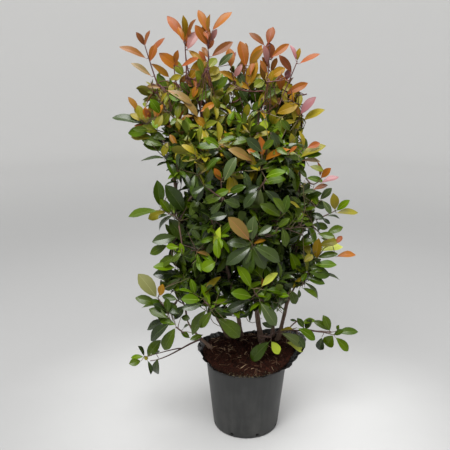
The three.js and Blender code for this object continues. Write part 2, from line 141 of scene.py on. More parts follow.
class Stream:
    """A repeatable stream of numbers from 0 to 1."""

    MASK = 0xFFFFFFFF
    STRIDE = 0x6D2B79F5

    def __init__(self, seed: int) -> None:
        """Starts the stream at a seed."""
        self.state = seed & self.MASK

    def __call__(self) -> float:
        """The next number."""
        self.state = (self.state + self.STRIDE) & self.MASK
        mixed = ((self.state ^ (self.state >> 15)) * (self.state | 1)) & self.MASK
        mixed ^= (mixed + (mixed ^ (mixed >> 7)) * (mixed | 61)) & self.MASK
        return (mixed ^ (mixed >> 14)) / (self.MASK + 1)

    def between(self, low: float, high: float) -> float:
        """A number between two limits."""
        return low + (high - low) * self()

    def spread(self, width: float) -> float:
        """A number that may fall half a width either side of 0."""
        return width * (self() - 0.5)


class Path3:
    """A smooth middle line: a cubic curve between two ends with a direction at each."""

    HALVINGS = 30
    SAMPLES = 9

    def __init__(self, controls: Array) -> None:
        """Keeps the curve's four control points."""
        self.controls = controls

    @classmethod
    def between(cls, start: Array, leaving: Array, end: Array, arriving: Array) -> "Path3":
        """A curve that leaves start along one direction and arrives at end along another.

        Args:
            start: The first end.
            leaving: The direction there.
            end: The last end.
            arriving: The direction there.

        Returns:
            The curve, with handles a third of the distance long.
        """
        third = float(np.linalg.norm(end - start)) / 3
        return cls(np.array([start, start + leaving * third, end - arriving * third, end]))

    def at(self, shares: float | Array) -> Array:
        """The places at shares of the way along.

        Args:
            shares: One share, or an array of them.

        Returns:
            The place or places.
        """
        t = np.asarray(shares, dtype=float)[..., None]
        a, b, c, d = self.controls
        return (1 - t) ** 3 * a + 3 * (1 - t) ** 2 * t * b + 3 * (1 - t) * t**2 * c + t**3 * d

    def tangent(self, shares: float | Array) -> Array:
        """The directions of travel at shares of the way along.

        Args:
            shares: One share, or an array of them.

        Returns:
            The direction or directions, of length 1.
        """
        t = np.asarray(shares, dtype=float)[..., None]
        a, b, c, d = self.controls
        return unit((1 - t) ** 2 * (b - a) + 2 * (1 - t) * t * (c - b) + t**2 * (d - c))

    def faceted(self, share: float, steps: int) -> Array:
        """The place at a share of the way along the same curve drawn with a few straight steps."""
        step = min(steps - 1, int(share * steps))
        return lerp(self.at(step / steps), self.at((step + 1) / steps), share * steps - step)

    def first_part(self, share: float) -> "Path3":
        """The first part of the same curve.

        Args:
            share: How far along it ends.

        Returns:
            The shorter curve.
        """
        a, b, c, _ = self.controls
        ab, bc = lerp(a, b, share), lerp(b, c, share)
        return Path3(np.array([a, ab, lerp(ab, bc, share), self.at(share)]))

    def at_height(self, height: float) -> float:
        """How far along a rising curve it reaches a height.

        Args:
            height: The height.

        Returns:
            The share of the way.
        """
        low, high = 0.0, 1.0
        for _ in range(self.HALVINGS):
            middle = (low + high) / 2
            if self.at(middle)[2] < height:
                low = middle
            else:
                high = middle
        return low

    def length(self) -> float:
        """The curve's length, near enough for spacing things along it."""
        points = self.at(np.linspace(0, 1, self.SAMPLES))
        return float(np.linalg.norm(np.diff(points, axis=0), axis=1).sum())


class Ripple:
    """A repeatable, smooth unevenness in space: a sum of sine waves in seeded directions."""

    SHORTEST = 0.6
    LONGEST = 1.6

    def __init__(self, seed: int, wavelength: float, waves: int = 9) -> None:
        """Draws the waves' directions and starts.

        Args:
            seed: The stream that they come from.
            wavelength: Their middle wavelength, in millimetres.
            waves: How many there are.
        """
        draw = np.random.default_rng(seed)
        lengths = wavelength * draw.uniform(self.SHORTEST, self.LONGEST, waves)
        self.numbers = unit(draw.normal(size=(waves, 3))) * (FULL_TURN / lengths)[:, None]
        self.starts = draw.uniform(0, FULL_TURN, waves)
        self.scale = math.sqrt(2 / waves)

    def __call__(self, points: Array) -> Array:
        """The unevenness at each point, mostly between -1 and 1."""
        return np.sin(points @ self.numbers.T + self.starts).sum(axis=-1) * self.scale

    def creased(self, points: Array) -> Array:
        """The same with sharp creases where the waves cross zero, from 0 at a crease up."""
        return np.abs(self(points))


@dataclass(frozen=True)
class View:
    """The front view: where the eye is, how far down it looks, its lens and its square frame."""

    eye: Triple = (-77.0, -2120.0, 1413.0)
    pitch_down: float = 17.0
    lens: float = 52.0
    sensor: float = 36.0
    frame: float = 450.0

    @property
    def pitch(self) -> float:
        """How far down it looks, in radians."""
        return math.radians(self.pitch_down)

    @property
    def focal(self) -> float:
        """The lens's length, in the units that the frame is counted in."""
        return self.lens / self.sensor * self.frame

    def place(self, across: float, down: float, depth: float) -> Array:
        """The point at a depth y that shows at a place in the frame.

        Args:
            across: The place, counted from the frame's left edge.
            down: The place, counted from its top edge.
            depth: The point's y.

        Returns:
            The point.
        """
        right = (across - self.frame / 2) / self.focal
        up = (self.frame / 2 - down) / self.focal
        ahead = depth - self.eye[1]
        ray_ahead = math.cos(self.pitch) + up * math.sin(self.pitch)
        ray_up = up * math.cos(self.pitch) - math.sin(self.pitch)
        return vec(*self.eye) + ahead / ray_ahead * vec(right, ray_ahead, ray_up)

    def seen(self, points: Array) -> tuple[Array, Array]:
        """Where points show in the frame, and how far ahead of the eye they are.

        Args:
            points: The points, in the last axis of any array.

        Returns:
            Their places across and down, in the last axis, and their distances.
        """
        from_eye = points - vec(*self.eye)
        ahead = from_eye @ vec(0.0, math.cos(self.pitch), -math.sin(self.pitch))
        up = from_eye @ vec(0.0, math.sin(self.pitch), math.cos(self.pitch))
        places = np.stack([from_eye[..., 0], -up], axis=-1) / ahead[..., None] * self.focal
        return places + self.frame / 2, ahead

    def towards(self, point: Array) -> Array:
        """The direction from a point to the eye."""
        return unit(vec(*self.eye) - point)


VIEW = View()


# ---------------------------------------------------------------- meshes


class Stock:
    """The points and faces gathered for one piece."""

    def __init__(self) -> None:
        """Starts with nothing in it."""
        self.points: list[Array] = []
        self.faces: list[tuple[Array, Array]] = []
        self.maps: list[Array] = []
        self.count = 0

    def add(self, points: Array, faces: Array, finish: int | Array = 0, places: Array | None = None) -> None:
        """Adds a form.

        Args:
            points: Its points in millimetres, in rows.
            faces: Its faces, as rows of point numbers that all have one length.
            finish: The number of the faces' finish, or one for each face.
            places: Each point's place on the flat map of the form, if it has one.
        """
        self.points.append(points)
        self.faces.append((faces + self.count, np.broadcast_to(finish, len(faces))))
        self.maps.append(np.zeros((len(points), 2)) if places is None else places)
        self.count += len(points)

    def add_closed(self, rings: Array, ends: Array, finish: int = 0, places: Array | None = None) -> None:
        """Adds a form made of rings of points, closed at both ends.

        Args:
            rings: The rings, each with the same number of points, from the underside up.
            ends: The points in the middle of the first ring and of the last.
            finish: The number of the form's finish.
            places: Each point's place on the flat map, with the two ends' last.
        """
        rows, columns = rings.shape[:2]
        first = self.count
        middle = first + rows * columns
        points = np.concatenate([rings.reshape(-1, 3), ends])
        self.add(points, grid_faces(rows, columns, True), finish, places)
        for start, centre, upward in ((first, middle, False), (middle - columns, middle + 1, True)):
            self.faces.append((lid(start, columns, centre, upward), np.full(columns, finish)))

    def triangles(self) -> int:
        """How many triangles the faces come to."""
        return sum(len(faces) * (faces.shape[1] - 2) for faces, _ in self.faces)

    def piece(self, name: str, finishes: list[bpy.types.Material], smooth: bool = True) -> bpy.types.Object:
        """Makes the piece.

        Args:
            name: Its name.
            finishes: Its materials, in the order that the faces number them.
            smooth: Whether its faces shade as one surface.

        Returns:
            The object, which rides on the root body.
        """
        mesh = bpy.data.meshes.new(name)
        corners = np.concatenate([faces.ravel() for faces, _ in self.faces])
        sizes = np.concatenate([np.full(len(faces), faces.shape[1]) for faces, _ in self.faces])
        points = np.concatenate(self.points) * MM
        mesh.vertices.add(len(points))
        mesh.vertices.foreach_set("co", points.astype(np.float32).ravel())
        mesh.loops.add(len(corners))
        mesh.loops.foreach_set("vertex_index", corners.astype(np.int32))
        mesh.polygons.add(len(sizes))
        mesh.polygons.foreach_set("loop_start", (np.cumsum(sizes) - sizes).astype(np.int32))
        for finish in finishes:
            mesh.materials.append(finish)
        numbers = np.concatenate([finish for _, finish in self.faces])
        mesh.polygons.foreach_set("material_index", numbers.astype(np.int32))
        mesh.polygons.foreach_set("use_smooth", np.full(len(sizes), smooth))
        flat = mesh.uv_layers.new(name="Places")
        flat.uv.foreach_set("vector", np.concatenate(self.maps)[corners].astype(np.float32).ravel())
        mesh.update(calc_edges=True)
        mesh.validate()
        piece = bpy.data.objects.new(name, mesh)
        bpy.context.scene.collection.objects.link(piece)
        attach(piece, "root")
        LOG.info("%s: %d triangles", name, self.triangles())
        return piece


def grid_faces(rows: int, columns: int, closed: bool) -> Array:
    """The four-sided faces of a grid of points.

    Args:
        rows: How many rows of points there are.
        columns: How many points each row has.
        closed: Whether each row's last point joins its first.

    Returns:
        The faces, as rows of point numbers.
    """
    across = columns if closed else columns - 1
    row, column = np.divmod(np.arange((rows - 1) * across), across)
    after = (column + 1) % columns
    return np.stack([
        row * columns + column,
        row * columns + after,
        (row + 1) * columns + after,
        (row + 1) * columns + column,
    ], axis=1)


def lid(first: int, columns: int, centre: int, upward: bool) -> Array:
    """The triangles that close a ring of points onto one in its middle.

    Args:
        first: The number of the ring's first point.
        columns: How many points the ring has.
        centre: The number of the point in the middle.
        upward: Whether the triangles face the way that the rings go.

    Returns:
        The faces, as rows of point numbers.
    """
    ring = np.arange(columns)
    after = (ring + 1) % columns
    order = (ring, after) if upward else (after, ring)
    return np.stack([order[0] + first, order[1] + first, np.full(columns, centre)], axis=1)


@dataclass
class Tube:
    """A closed limb along a path."""

    path: Path3
    foot: float
    tip: float
    sides: int = 6
    steps: int = 5
    flare: float = 0.0
    flare_length: float = 26.0
    end_bulge: float = 0.6

    def radius(self, shares: Array) -> Array:
        """The radius at shares of the way along."""
        widening = self.flare * np.exp(-shares * self.path.length() / self.flare_length)
        return lerp(self.foot, self.tip, shares) + self.foot * widening

    def add_to(
        self, stock: Stock, finish: int = 0, relief: Callable[[Array, Array], Array] | None = None,
    ) -> None:
        """Adds the limb to a stock.

        Args:
            stock: Where it goes.
            finish: The number of its finish.
            relief: Gives how far each point stands out, from the points and their shares of the way along.
        """
        shares = np.linspace(0, 1, self.steps + 1)
        angles = ring_angles(self.sides)
        flat = around(angles, 1.0, 0.0)
        centres, ways, radii = self.path.at(shares), self.path.tangent(shares), self.radius(shares)
        outward = np.stack([turned_from_up(flat, way) for way in ways])
        points = centres[:, None] + outward * radii[:, None, None]
        if relief is not None:
            heights = relief(points, np.broadcast_to(shares[:, None], points.shape[:2]))
            points = points + outward * heights[..., None]
        ends = np.array([centres[0], centres[-1] + ways[-1] * radii[-1] * self.end_bulge])
        places = np.stack(np.meshgrid(np.linspace(0, 1, self.sides), shares), axis=-1).reshape(-1, 2)
        stock.add_closed(points, ends, finish, np.concatenate([places, [[0.5, 0.0], [0.5, 1.0]]]))


# ---------------------------------------------------------------- shader nodes


class Signal:
    """One output of a shader node, with the operators that its maths needs."""

    def __init__(self, graph: "Graph", socket: bpy.types.NodeSocket) -> None:
        """Wraps a socket of a graph."""
        self.graph = graph
        self.socket = socket

    def __add__(self, other: "Signal | float") -> "Signal":
        """This plus another value."""
        return self.graph.maths("ADD", self, other)

    __radd__ = __add__

    def __sub__(self, other: "Signal | float") -> "Signal":
        """This less another value."""
        return self.graph.maths("SUBTRACT", self, other)

    def __rsub__(self, other: "Signal | float") -> "Signal":
        """Another value less this."""
        return self.graph.maths("SUBTRACT", other, self)

    def __mul__(self, other: "Signal | float") -> "Signal":
        """This times another value."""
        return self.graph.maths("MULTIPLY", self, other)

    __rmul__ = __mul__

    def step(self, low: float, high: float) -> "Signal":
        """A smooth rise from 0 where this is low to 1 where it is high."""
        return self.graph.node(
            "ShaderNodeMapRange",
            {"interpolation_type": "SMOOTHSTEP"},
            {"Value": self, "From Min": low, "From Max": high},
        )


class Graph:
    """The node tree of one material."""

    def __init__(self, name: str) -> None:
        """Makes the material with its surface shader.

        Args:
            name: The material's name.
        """
        self.material = bpy.data.materials.new(name)
        self.material.use_nodes = True
        self.tree = self.material.node_tree
        self.surface = self.tree.nodes["Principled BSDF"]

    def node(
        self,
        kind: str,
        settings: dict[str, object],
        sockets: dict[str | int, "Signal | float | tuple"],
        output: str | int = 0,
    ) -> Signal:
        """Adds a node.

        Args:
            kind: The node's type.
            settings: Its own settings, set first; stops are a ramp's places and colours.
            sockets: The values or links of its inputs, by name or number.
            output: The output that is wanted, by name or number.

        Returns:
            That output.
        """
        made = self.tree.nodes.new(kind)
        for setting, value in settings.items():
            if setting == "stops":
                self._set_stops(made.color_ramp, value)
            else:
                setattr(made, setting, value)
        for socket, value in sockets.items():
            self._feed(made.inputs[socket], value)
        return Signal(self, made.outputs[output])

    @staticmethod
    def _set_stops(ramp: bpy.types.ColorRamp, stops: list[tuple[float, Colour]]) -> None:
        """Gives a ramp its places and colours."""
        while len(ramp.elements) < len(stops):
            ramp.elements.new(0.5)
        for element, (place, colour) in zip(ramp.elements, stops):
            element.position = place
            element.color = (*colour, 1.0)

    def _feed(self, socket: bpy.types.NodeSocket, value: "Signal | float | tuple") -> None:
        """Links an input, or sets its value."""
        if isinstance(value, Signal):
            self.tree.links.new(value.socket, socket)
        else:
            socket.default_value = value

    def maths(self, operation: str, first: Signal | float, second: Signal | float) -> Signal:
        """A Math node on two values."""
        return self.node("ShaderNodeMath", {"operation": operation}, {0: first, 1: second})

    def mix(self, share: Signal | float, first: Signal | Colour, second: Signal | Colour) -> Signal:
        """The colour a share of the way from the first to the second."""
        ends = [each if isinstance(each, Signal) else (*each, 1.0) for each in (first, second)]
        return self.node("ShaderNodeMix", {"data_type": "RGBA"}, {0: share, 6: ends[0], 7: ends[1]}, 2)

    def place(self) -> Signal:
        """The place on the object, in metres."""
        return self.node("ShaderNodeTexCoord", {}, {}, "Object")

    def scaled(self, place: Signal, by: Triple) -> Signal:
        """A place with each of its coordinates scaled."""
        return self.node("ShaderNodeVectorMath", {"operation": "MULTIPLY"}, {0: place, 1: by})

    def noise(self, place: Signal, scale: float, detail: float = 3.0, roughness: float = 0.55) -> Signal:
        """Soft random patches, from 0 to 1."""
        sockets = {"Vector": place, "Scale": scale, "Detail": detail, "Roughness": roughness}
        return self.node("ShaderNodeTexNoise", {}, sockets)

    def cells(self, place: Signal, scale: float, feature: str = "F1") -> Signal:
        """The distance to the nearest of many scattered points, or to the edge between them."""
        sockets = {"Vector": place, "Scale": scale}
        return self.node("ShaderNodeTexVoronoi", {"feature": feature}, sockets, "Distance")

    def bump(self, height: Signal, strength: float, depth: float) -> Signal:
        """A fine relief for the surface's normal."""
        return self.node("ShaderNodeBump", {}, {"Height": height, "Strength": strength, "Distance": depth})

    def dress(self, **sockets: "Signal | float | tuple") -> bpy.types.Material:
        """Sets inputs of the surface shader, each named with _ for a space, and returns the material."""
        for name, value in sockets.items():
            whole = (*value, 1.0) if isinstance(value, tuple) and len(value) == 3 else value
            self._feed(self.surface.inputs[name.replace("_", " ")], whole)
        return self.material


# ---------------------------------------------------------------- finishes


@dataclass(frozen=True)
class LeafFinish:
    """The leathery side of a leaf that faces up: a plain colour under a waxy gloss with faint side veins."""

    name: str
    colour: Colour
    gloss: float
    sheen: float
    veins: float = 9.0

    def material(self) -> bpy.types.Material:
        """Makes the material.

        Returns:
            The material.
        """
        graph = Graph(self.name)
        flat = graph.node("ShaderNodeTexCoord", {}, {}, "UV")
        across = graph.node("ShaderNodeSeparateXYZ", {}, {0: flat}, "X")
        along = graph.node("ShaderNodeSeparateXYZ", {}, {0: flat}, "Y")
        slant = graph.maths("ABSOLUTE", across - 0.5, 0.0)
        wave = graph.maths("SINE", (along - slant * 0.8) * (self.veins * FULL_TURN), 0.0)
        patches = graph.noise(graph.place(), 24.0, 2.0)
        return graph.dress(
            Base_Color=self.colour,
            Roughness=patches * 0.12 + self.gloss,
            Normal=graph.bump(wave * 0.4 + patches, 0.1, 0.0004),
            Specular_IOR_Level=self.sheen,
        )


@dataclass(frozen=True)
class SoftFinish:
    """A smooth matt skin, such as a leaf's underside, its rib or a green twig."""

    name: str
    colour: Colour
    roughness: float = 0.55
    sheen: float = 0.5

    def material(self) -> bpy.types.Material:
        """Makes the material.

        Returns:
            The material.
        """
        graph = Graph(self.name)
        patches = graph.noise(graph.place(), 60.0)
        return graph.dress(
            Base_Color=self.colour,
            Roughness=patches * 0.2 + (self.roughness - 0.1),
            Normal=graph.bump(patches, 0.2, 0.0004),
            Specular_IOR_Level=self.sheen,
        )


@dataclass(frozen=True)
class BarkFinish:
    """Thin bark: streaked along the limb, with small pale pores across it."""

    name: str
    dark: Colour
    light: Colour
    pore: Colour

    def material(self) -> bpy.types.Material:
        """Makes the material.

        Returns:
            The material.
        """
        graph = Graph(self.name)
        place = graph.place()
        streaks = graph.noise(graph.scaled(place, (1.0, 1.0, 0.16)), 260.0, 4.0)
        patches = graph.noise(place, 28.0)
        tone = graph.mix((streaks * 0.6 + patches * 0.6).step(0.35, 0.85), self.dark, self.light)
        pores = 1 - graph.cells(graph.scaled(place, (1.0, 1.0, 2.2)), 170.0).step(0.1, 0.26)
        return graph.dress(
            Base_Color=graph.mix(pores * 0.55, tone, self.pore),
            Roughness=0.62 + streaks * 0.25,
            Normal=graph.bump(streaks + pores * 0.6, 0.5, 0.0012),
        )


@dataclass(frozen=True)
class PotFinish:
    """Moulded dark grey plastic with a fine grain, faint rubbed streaks and pale patches that grow towards
    the foot, so the pot is darker towards its rim.
    """

    name: str = "pot_plastic"
    body: Colour = (0.0145, 0.0152, 0.0148)
    rubbed: Colour = (0.031, 0.0318, 0.031)
    pale_patch: Colour = (0.070, 0.069, 0.064)

    def material(self) -> bpy.types.Material:
        """Makes the material.

        Returns:
            The material.
        """
        graph = Graph(self.name)
        place = graph.place()
        streaks = graph.noise(graph.scaled(place, (1.0, 1.0, 0.12)), 70.0, 4.0)
        patches = graph.noise(place, 11.0, 4.0)
        grain = graph.noise(place, 900.0, 2.0)
        height = graph.node("ShaderNodeSeparateXYZ", {}, {0: place}, "Z")
        low = 1 - height.step(0.0, 0.2)
        tone = graph.mix((streaks * 0.5 + patches * 0.6).step(0.45, 0.8) * 0.8, self.body, self.rubbed)
        # Pale patches, weighted more towards the foot, leave the pot darker towards its rim.
        paler_low = (patches + streaks * 0.3).step(0.5, 0.95) * (low * 0.5 + 0.12)
        return graph.dress(
            Base_Color=graph.mix(paler_low, tone, self.pale_patch),
            Roughness=0.38 + patches * 0.2 + paler_low * 0.3,
            Normal=graph.bump(grain * 0.5 + streaks * 0.3, 0.25, 0.0004),
        )


@dataclass(frozen=True)
class FilmFinish:
    """Thin glossy black film with fine wrinkles and a little dried soil on it."""

    name: str = "liner_film"
    film: Colour = (0.0045, 0.005, 0.0055)
    soiled: Colour = (0.030, 0.020, 0.015)

    def material(self) -> bpy.types.Material:
        """Makes the material.

        Returns:
            The material.
        """
        graph = Graph(self.name)
        place = graph.place()
        wrinkles = graph.cells(graph.scaled(place, (1.0, 1.0, 0.6)), 55.0, "DISTANCE_TO_EDGE")
        patches = graph.noise(place, 32.0, 5.0)
        crumbs = graph.noise(place, 420.0, 3.0)
        soiled = (patches + crumbs * 0.35).step(0.72, 0.98)
        return graph.dress(
            Base_Color=graph.mix(soiled * 0.8, self.film, self.soiled),
            Roughness=0.2 + patches * 0.16 + soiled * 0.4,
            Normal=graph.bump(wrinkles * 2.0 + patches, 0.6, 0.003),
            Coat_Weight=0.3,
            Coat_Roughness=0.15,
        )


@dataclass(frozen=True)
class CompostFinish:
    """Moist fibrous compost: dark lumps, redder fibres and a few pale flecks."""

    name: str
    dark: Colour
    red: Colour
    fleck: Colour

    def material(self) -> bpy.types.Material:
        """Makes the material.

        Returns:
            The material.
        """
        graph = Graph(self.name)
        place = graph.place()
        lumps = graph.noise(place, 85.0, 6.0, 0.7)
        fibres = graph.noise(graph.scaled(place, (1.0, 0.25, 1.0)), 420.0, 4.0, 0.7)
        flecks = 1 - graph.cells(place, 190.0).step(0.05, 0.13)
        tone = graph.mix((lumps * 0.7 + fibres * 0.5).step(0.42, 0.8), self.dark, self.red)
        return graph.dress(
            Base_Color=graph.mix(flecks * 0.5, tone, self.fleck),
            Roughness=0.98 - lumps * 0.2,
            Specular_IOR_Level=0.15,
            Normal=graph.bump(lumps + fibres * 0.7, 0.9, 0.004),
        )


@dataclass(frozen=True)
class FloorFinish:
    """A pale floor with the faintest unevenness, its tones painted light: paler close round the pot, where
    painted light lifts the shadow that falls there, darker further out, and paler again towards its sides
    and up the wall.
    """

    name: str = "floor_pale"
    # Painted light: the near tone lifts the shadow round the pot, and the darker middle and the paler far
    # floor and wall stand in for how the lights fall.
    near: Colour = (0.47, 0.47, 0.468)
    middle: Colour = (0.268, 0.268, 0.267)
    far: Colour = (0.48, 0.48, 0.477)
    wall: Colour = (0.60, 0.60, 0.596)

    def material(self) -> bpy.types.Material:
        """Makes the material.

        Returns:
            The material.
        """
        graph = Graph(self.name)
        place = graph.place()
        patches = graph.noise(place, 3.0, 5.0)
        flat = graph.scaled(place, (1.0, 1.0, 0.0))
        away = graph.node("ShaderNodeVectorMath", {"operation": "LENGTH"}, {0: flat}, "Value")
        height = graph.node("ShaderNodeSeparateXYZ", {}, {0: place}, "Z")
        # Painted light: tones by distance from the pot and by height up the wall.
        tone = graph.mix((away + patches * 0.1).step(0.15, 1.1), self.near, self.middle)
        tone = graph.mix(away.step(2.3, 5.6), tone, self.far)
        tone = graph.mix(height.step(0.1, 2.4), tone, self.wall)
        return graph.dress(Base_Color=tone, Roughness=0.75 + patches * 0.1)


class Tint(Enum):
    """The colours of leaves."""

    DARK = "dark"
    GREEN = "green"
    FRESH = "fresh"
    LIME = "lime"
    OLIVE = "olive"
    BRONZE = "bronze"
    ORANGE = "orange"
    RED = "red"
    PINK = "pink"
    GOLD = "gold"
    TAN = "tan"
    SAGE = "sage"
    PALE = "pale"


DARK, GREEN, FRESH, LIME, OLIVE, BRONZE, ORANGE, RED, PINK, GOLD, TAN, SAGE, PALE = Tint


@dataclass(frozen=True)
class TintFamily:
    """A tint's shades, the underside and rib that go with them, its gloss, and the tint that strays in."""

    shades: tuple[Colour, ...]
    underside: Colour
    rib: Colour
    gloss: float
    sheen: float
    neighbour: Tint


FAMILIES: dict[Tint, TintFamily] = {
    DARK: TintFamily(
        ((0.013, 0.024, 0.003), (0.019, 0.035, 0.004), (0.028, 0.047, 0.005)),
        (0.056, 0.084, 0.014), (0.070, 0.100, 0.022), 0.20, 0.42, GREEN,
    ),
    GREEN: TintFamily(
        ((0.032, 0.061, 0.001), (0.051, 0.084, 0.001), (0.042, 0.068, 0.002)),
        (0.060, 0.095, 0.010), (0.090, 0.130, 0.018), 0.21, 0.27, DARK,
    ),
    FRESH: TintFamily(
        ((0.060, 0.112, 0.001), (0.086, 0.146, 0.001)),
        (0.105, 0.150, 0.016), (0.180, 0.240, 0.032), 0.25, 0.11, GREEN,
    ),
    LIME: TintFamily(
        ((0.390, 0.480, 0.034), (0.510, 0.560, 0.080)),
        (0.250, 0.280, 0.045), (0.380, 0.380, 0.090), 0.34, 0.18, FRESH,
    ),
    OLIVE: TintFamily(
        ((0.158, 0.140, 0.006), (0.202, 0.160, 0.007), (0.104, 0.122, 0.005)),
        (0.155, 0.150, 0.020), (0.220, 0.170, 0.028), 0.30, 0.20, GREEN,
    ),
    GOLD: TintFamily(
        ((0.224, 0.140, 0.006), (0.250, 0.126, 0.007)),
        (0.280, 0.200, 0.030), (0.380, 0.210, 0.040), 0.30, 0.14, OLIVE,
    ),
    BRONZE: TintFamily(
        ((0.148, 0.056, 0.006), (0.174, 0.080, 0.005), (0.128, 0.043, 0.010)),
        (0.210, 0.105, 0.045), (0.220, 0.060, 0.034), 0.28, 0.18, OLIVE,
    ),
    ORANGE: TintFamily(
        ((0.240, 0.080, 0.005), (0.266, 0.103, 0.006), (0.206, 0.064, 0.007)),
        (0.360, 0.150, 0.055), (0.330, 0.070, 0.030), 0.28, 0.16, BRONZE,
    ),
    RED: TintFamily(
        ((0.216, 0.060, 0.012), (0.246, 0.088, 0.014), (0.170, 0.050, 0.014)),
        (0.300, 0.105, 0.060), (0.260, 0.042, 0.032), 0.28, 0.16, ORANGE,
    ),
    PINK: TintFamily(
        ((0.250, 0.106, 0.092), (0.212, 0.083, 0.088)),
        (0.280, 0.150, 0.125), (0.260, 0.080, 0.080), 0.34, 0.40, RED,
    ),
    TAN: TintFamily(
        ((0.176, 0.117, 0.027), (0.150, 0.094, 0.020)),
        (0.300, 0.170, 0.090), (0.320, 0.105, 0.050), 0.34, 0.30, BRONZE,
    ),
    SAGE: TintFamily(
        ((0.052, 0.077, 0.020), (0.076, 0.100, 0.025)),
        (0.150, 0.180, 0.070), (0.190, 0.205, 0.085), 0.32, 0.34, GREEN,
    ),
    PALE: TintFamily(
        ((0.145, 0.166, 0.040), (0.168, 0.170, 0.056)),
        (0.220, 0.230, 0.100), (0.290, 0.290, 0.130), 0.32, 0.30, SAGE,
    ),
}


class Palette:
    """The leaf materials, made once each and numbered in one order for every leaf piece."""

    def __init__(self) -> None:
        """Makes the materials."""
        self.materials: list[bpy.types.Material] = []
        self.first: dict[tuple[Tint, int], int] = {}
        for tint, family in FAMILIES.items():
            name = f"leaf_{tint.value}"
            under = SoftFinish(f"{name}_underside", family.underside, 0.6, 0.2).material()
            rib = SoftFinish(f"{name}_rib", family.rib, 0.45, 0.3).material()
            for shade, colour in enumerate(family.shades):
                self.first[tint, shade] = len(self.materials)
                blade = LeafFinish(f"{name}_{shade + 1}", colour, family.gloss, family.sheen).material()
                self.materials += [blade, rib, under]

    def number(self, tint: Tint, chance: float) -> int:
        """The number of the blade's finish for a tint; its rib and underside come next."""
        shades = len(FAMILIES[tint].shades)
        return self.first[tint, min(shades - 1, int(chance * shades))]


# ---------------------------------------------------------------- leaves


@dataclass
class Leaf:
    """One leaf: where it leaves its twig, how it is turned, its size and its finish.

    Its bend, fold and twist are in radians or shares, and shown is how wide it shows in the front view, as
    a share of its length, or 0 where it may be hidden.
    """

    base: Array
    along: Array
    upper: Array
    length: float
    width: float
    bend: float
    fold: float
    twist: float
    finish: int
    shown: float = 0.0

    @classmethod
    def reaching(
        cls, base: Array, tip: Array, upper: Array, width: float, bend: float, finish: int, shown: float,
    ) -> "Leaf":
        """A leaf between two places.

        Args:
            base: Where it leaves its twig.
            tip: Where its tip is.
            upper: The way that its upper side faces.
            width: Its width, as a share of its length.
            bend: How far it bends down, in radians.
            finish: The number of its finish.
            shown: How wide it shows.

        Returns:
            The leaf, lightly folded and without a twist.
        """
        chord = float(np.linalg.norm(tip - base))
        way = (tip - base) / chord
        upper = unit(upper - (upper @ way) * way)
        along = way * math.cos(bend / 2) + upper * math.sin(bend / 2)
        length = chord * bend / 2 / math.sin(bend / 2)
        return cls(base, along, upper, length, width, bend, fold=0.25, twist=0.0, finish=finish, shown=shown)

    def tip(self) -> Array:
        """The place of its tip, near enough to test its reach."""
        return self.base + self.length * (self.along - self.upper * self.bend / 2)

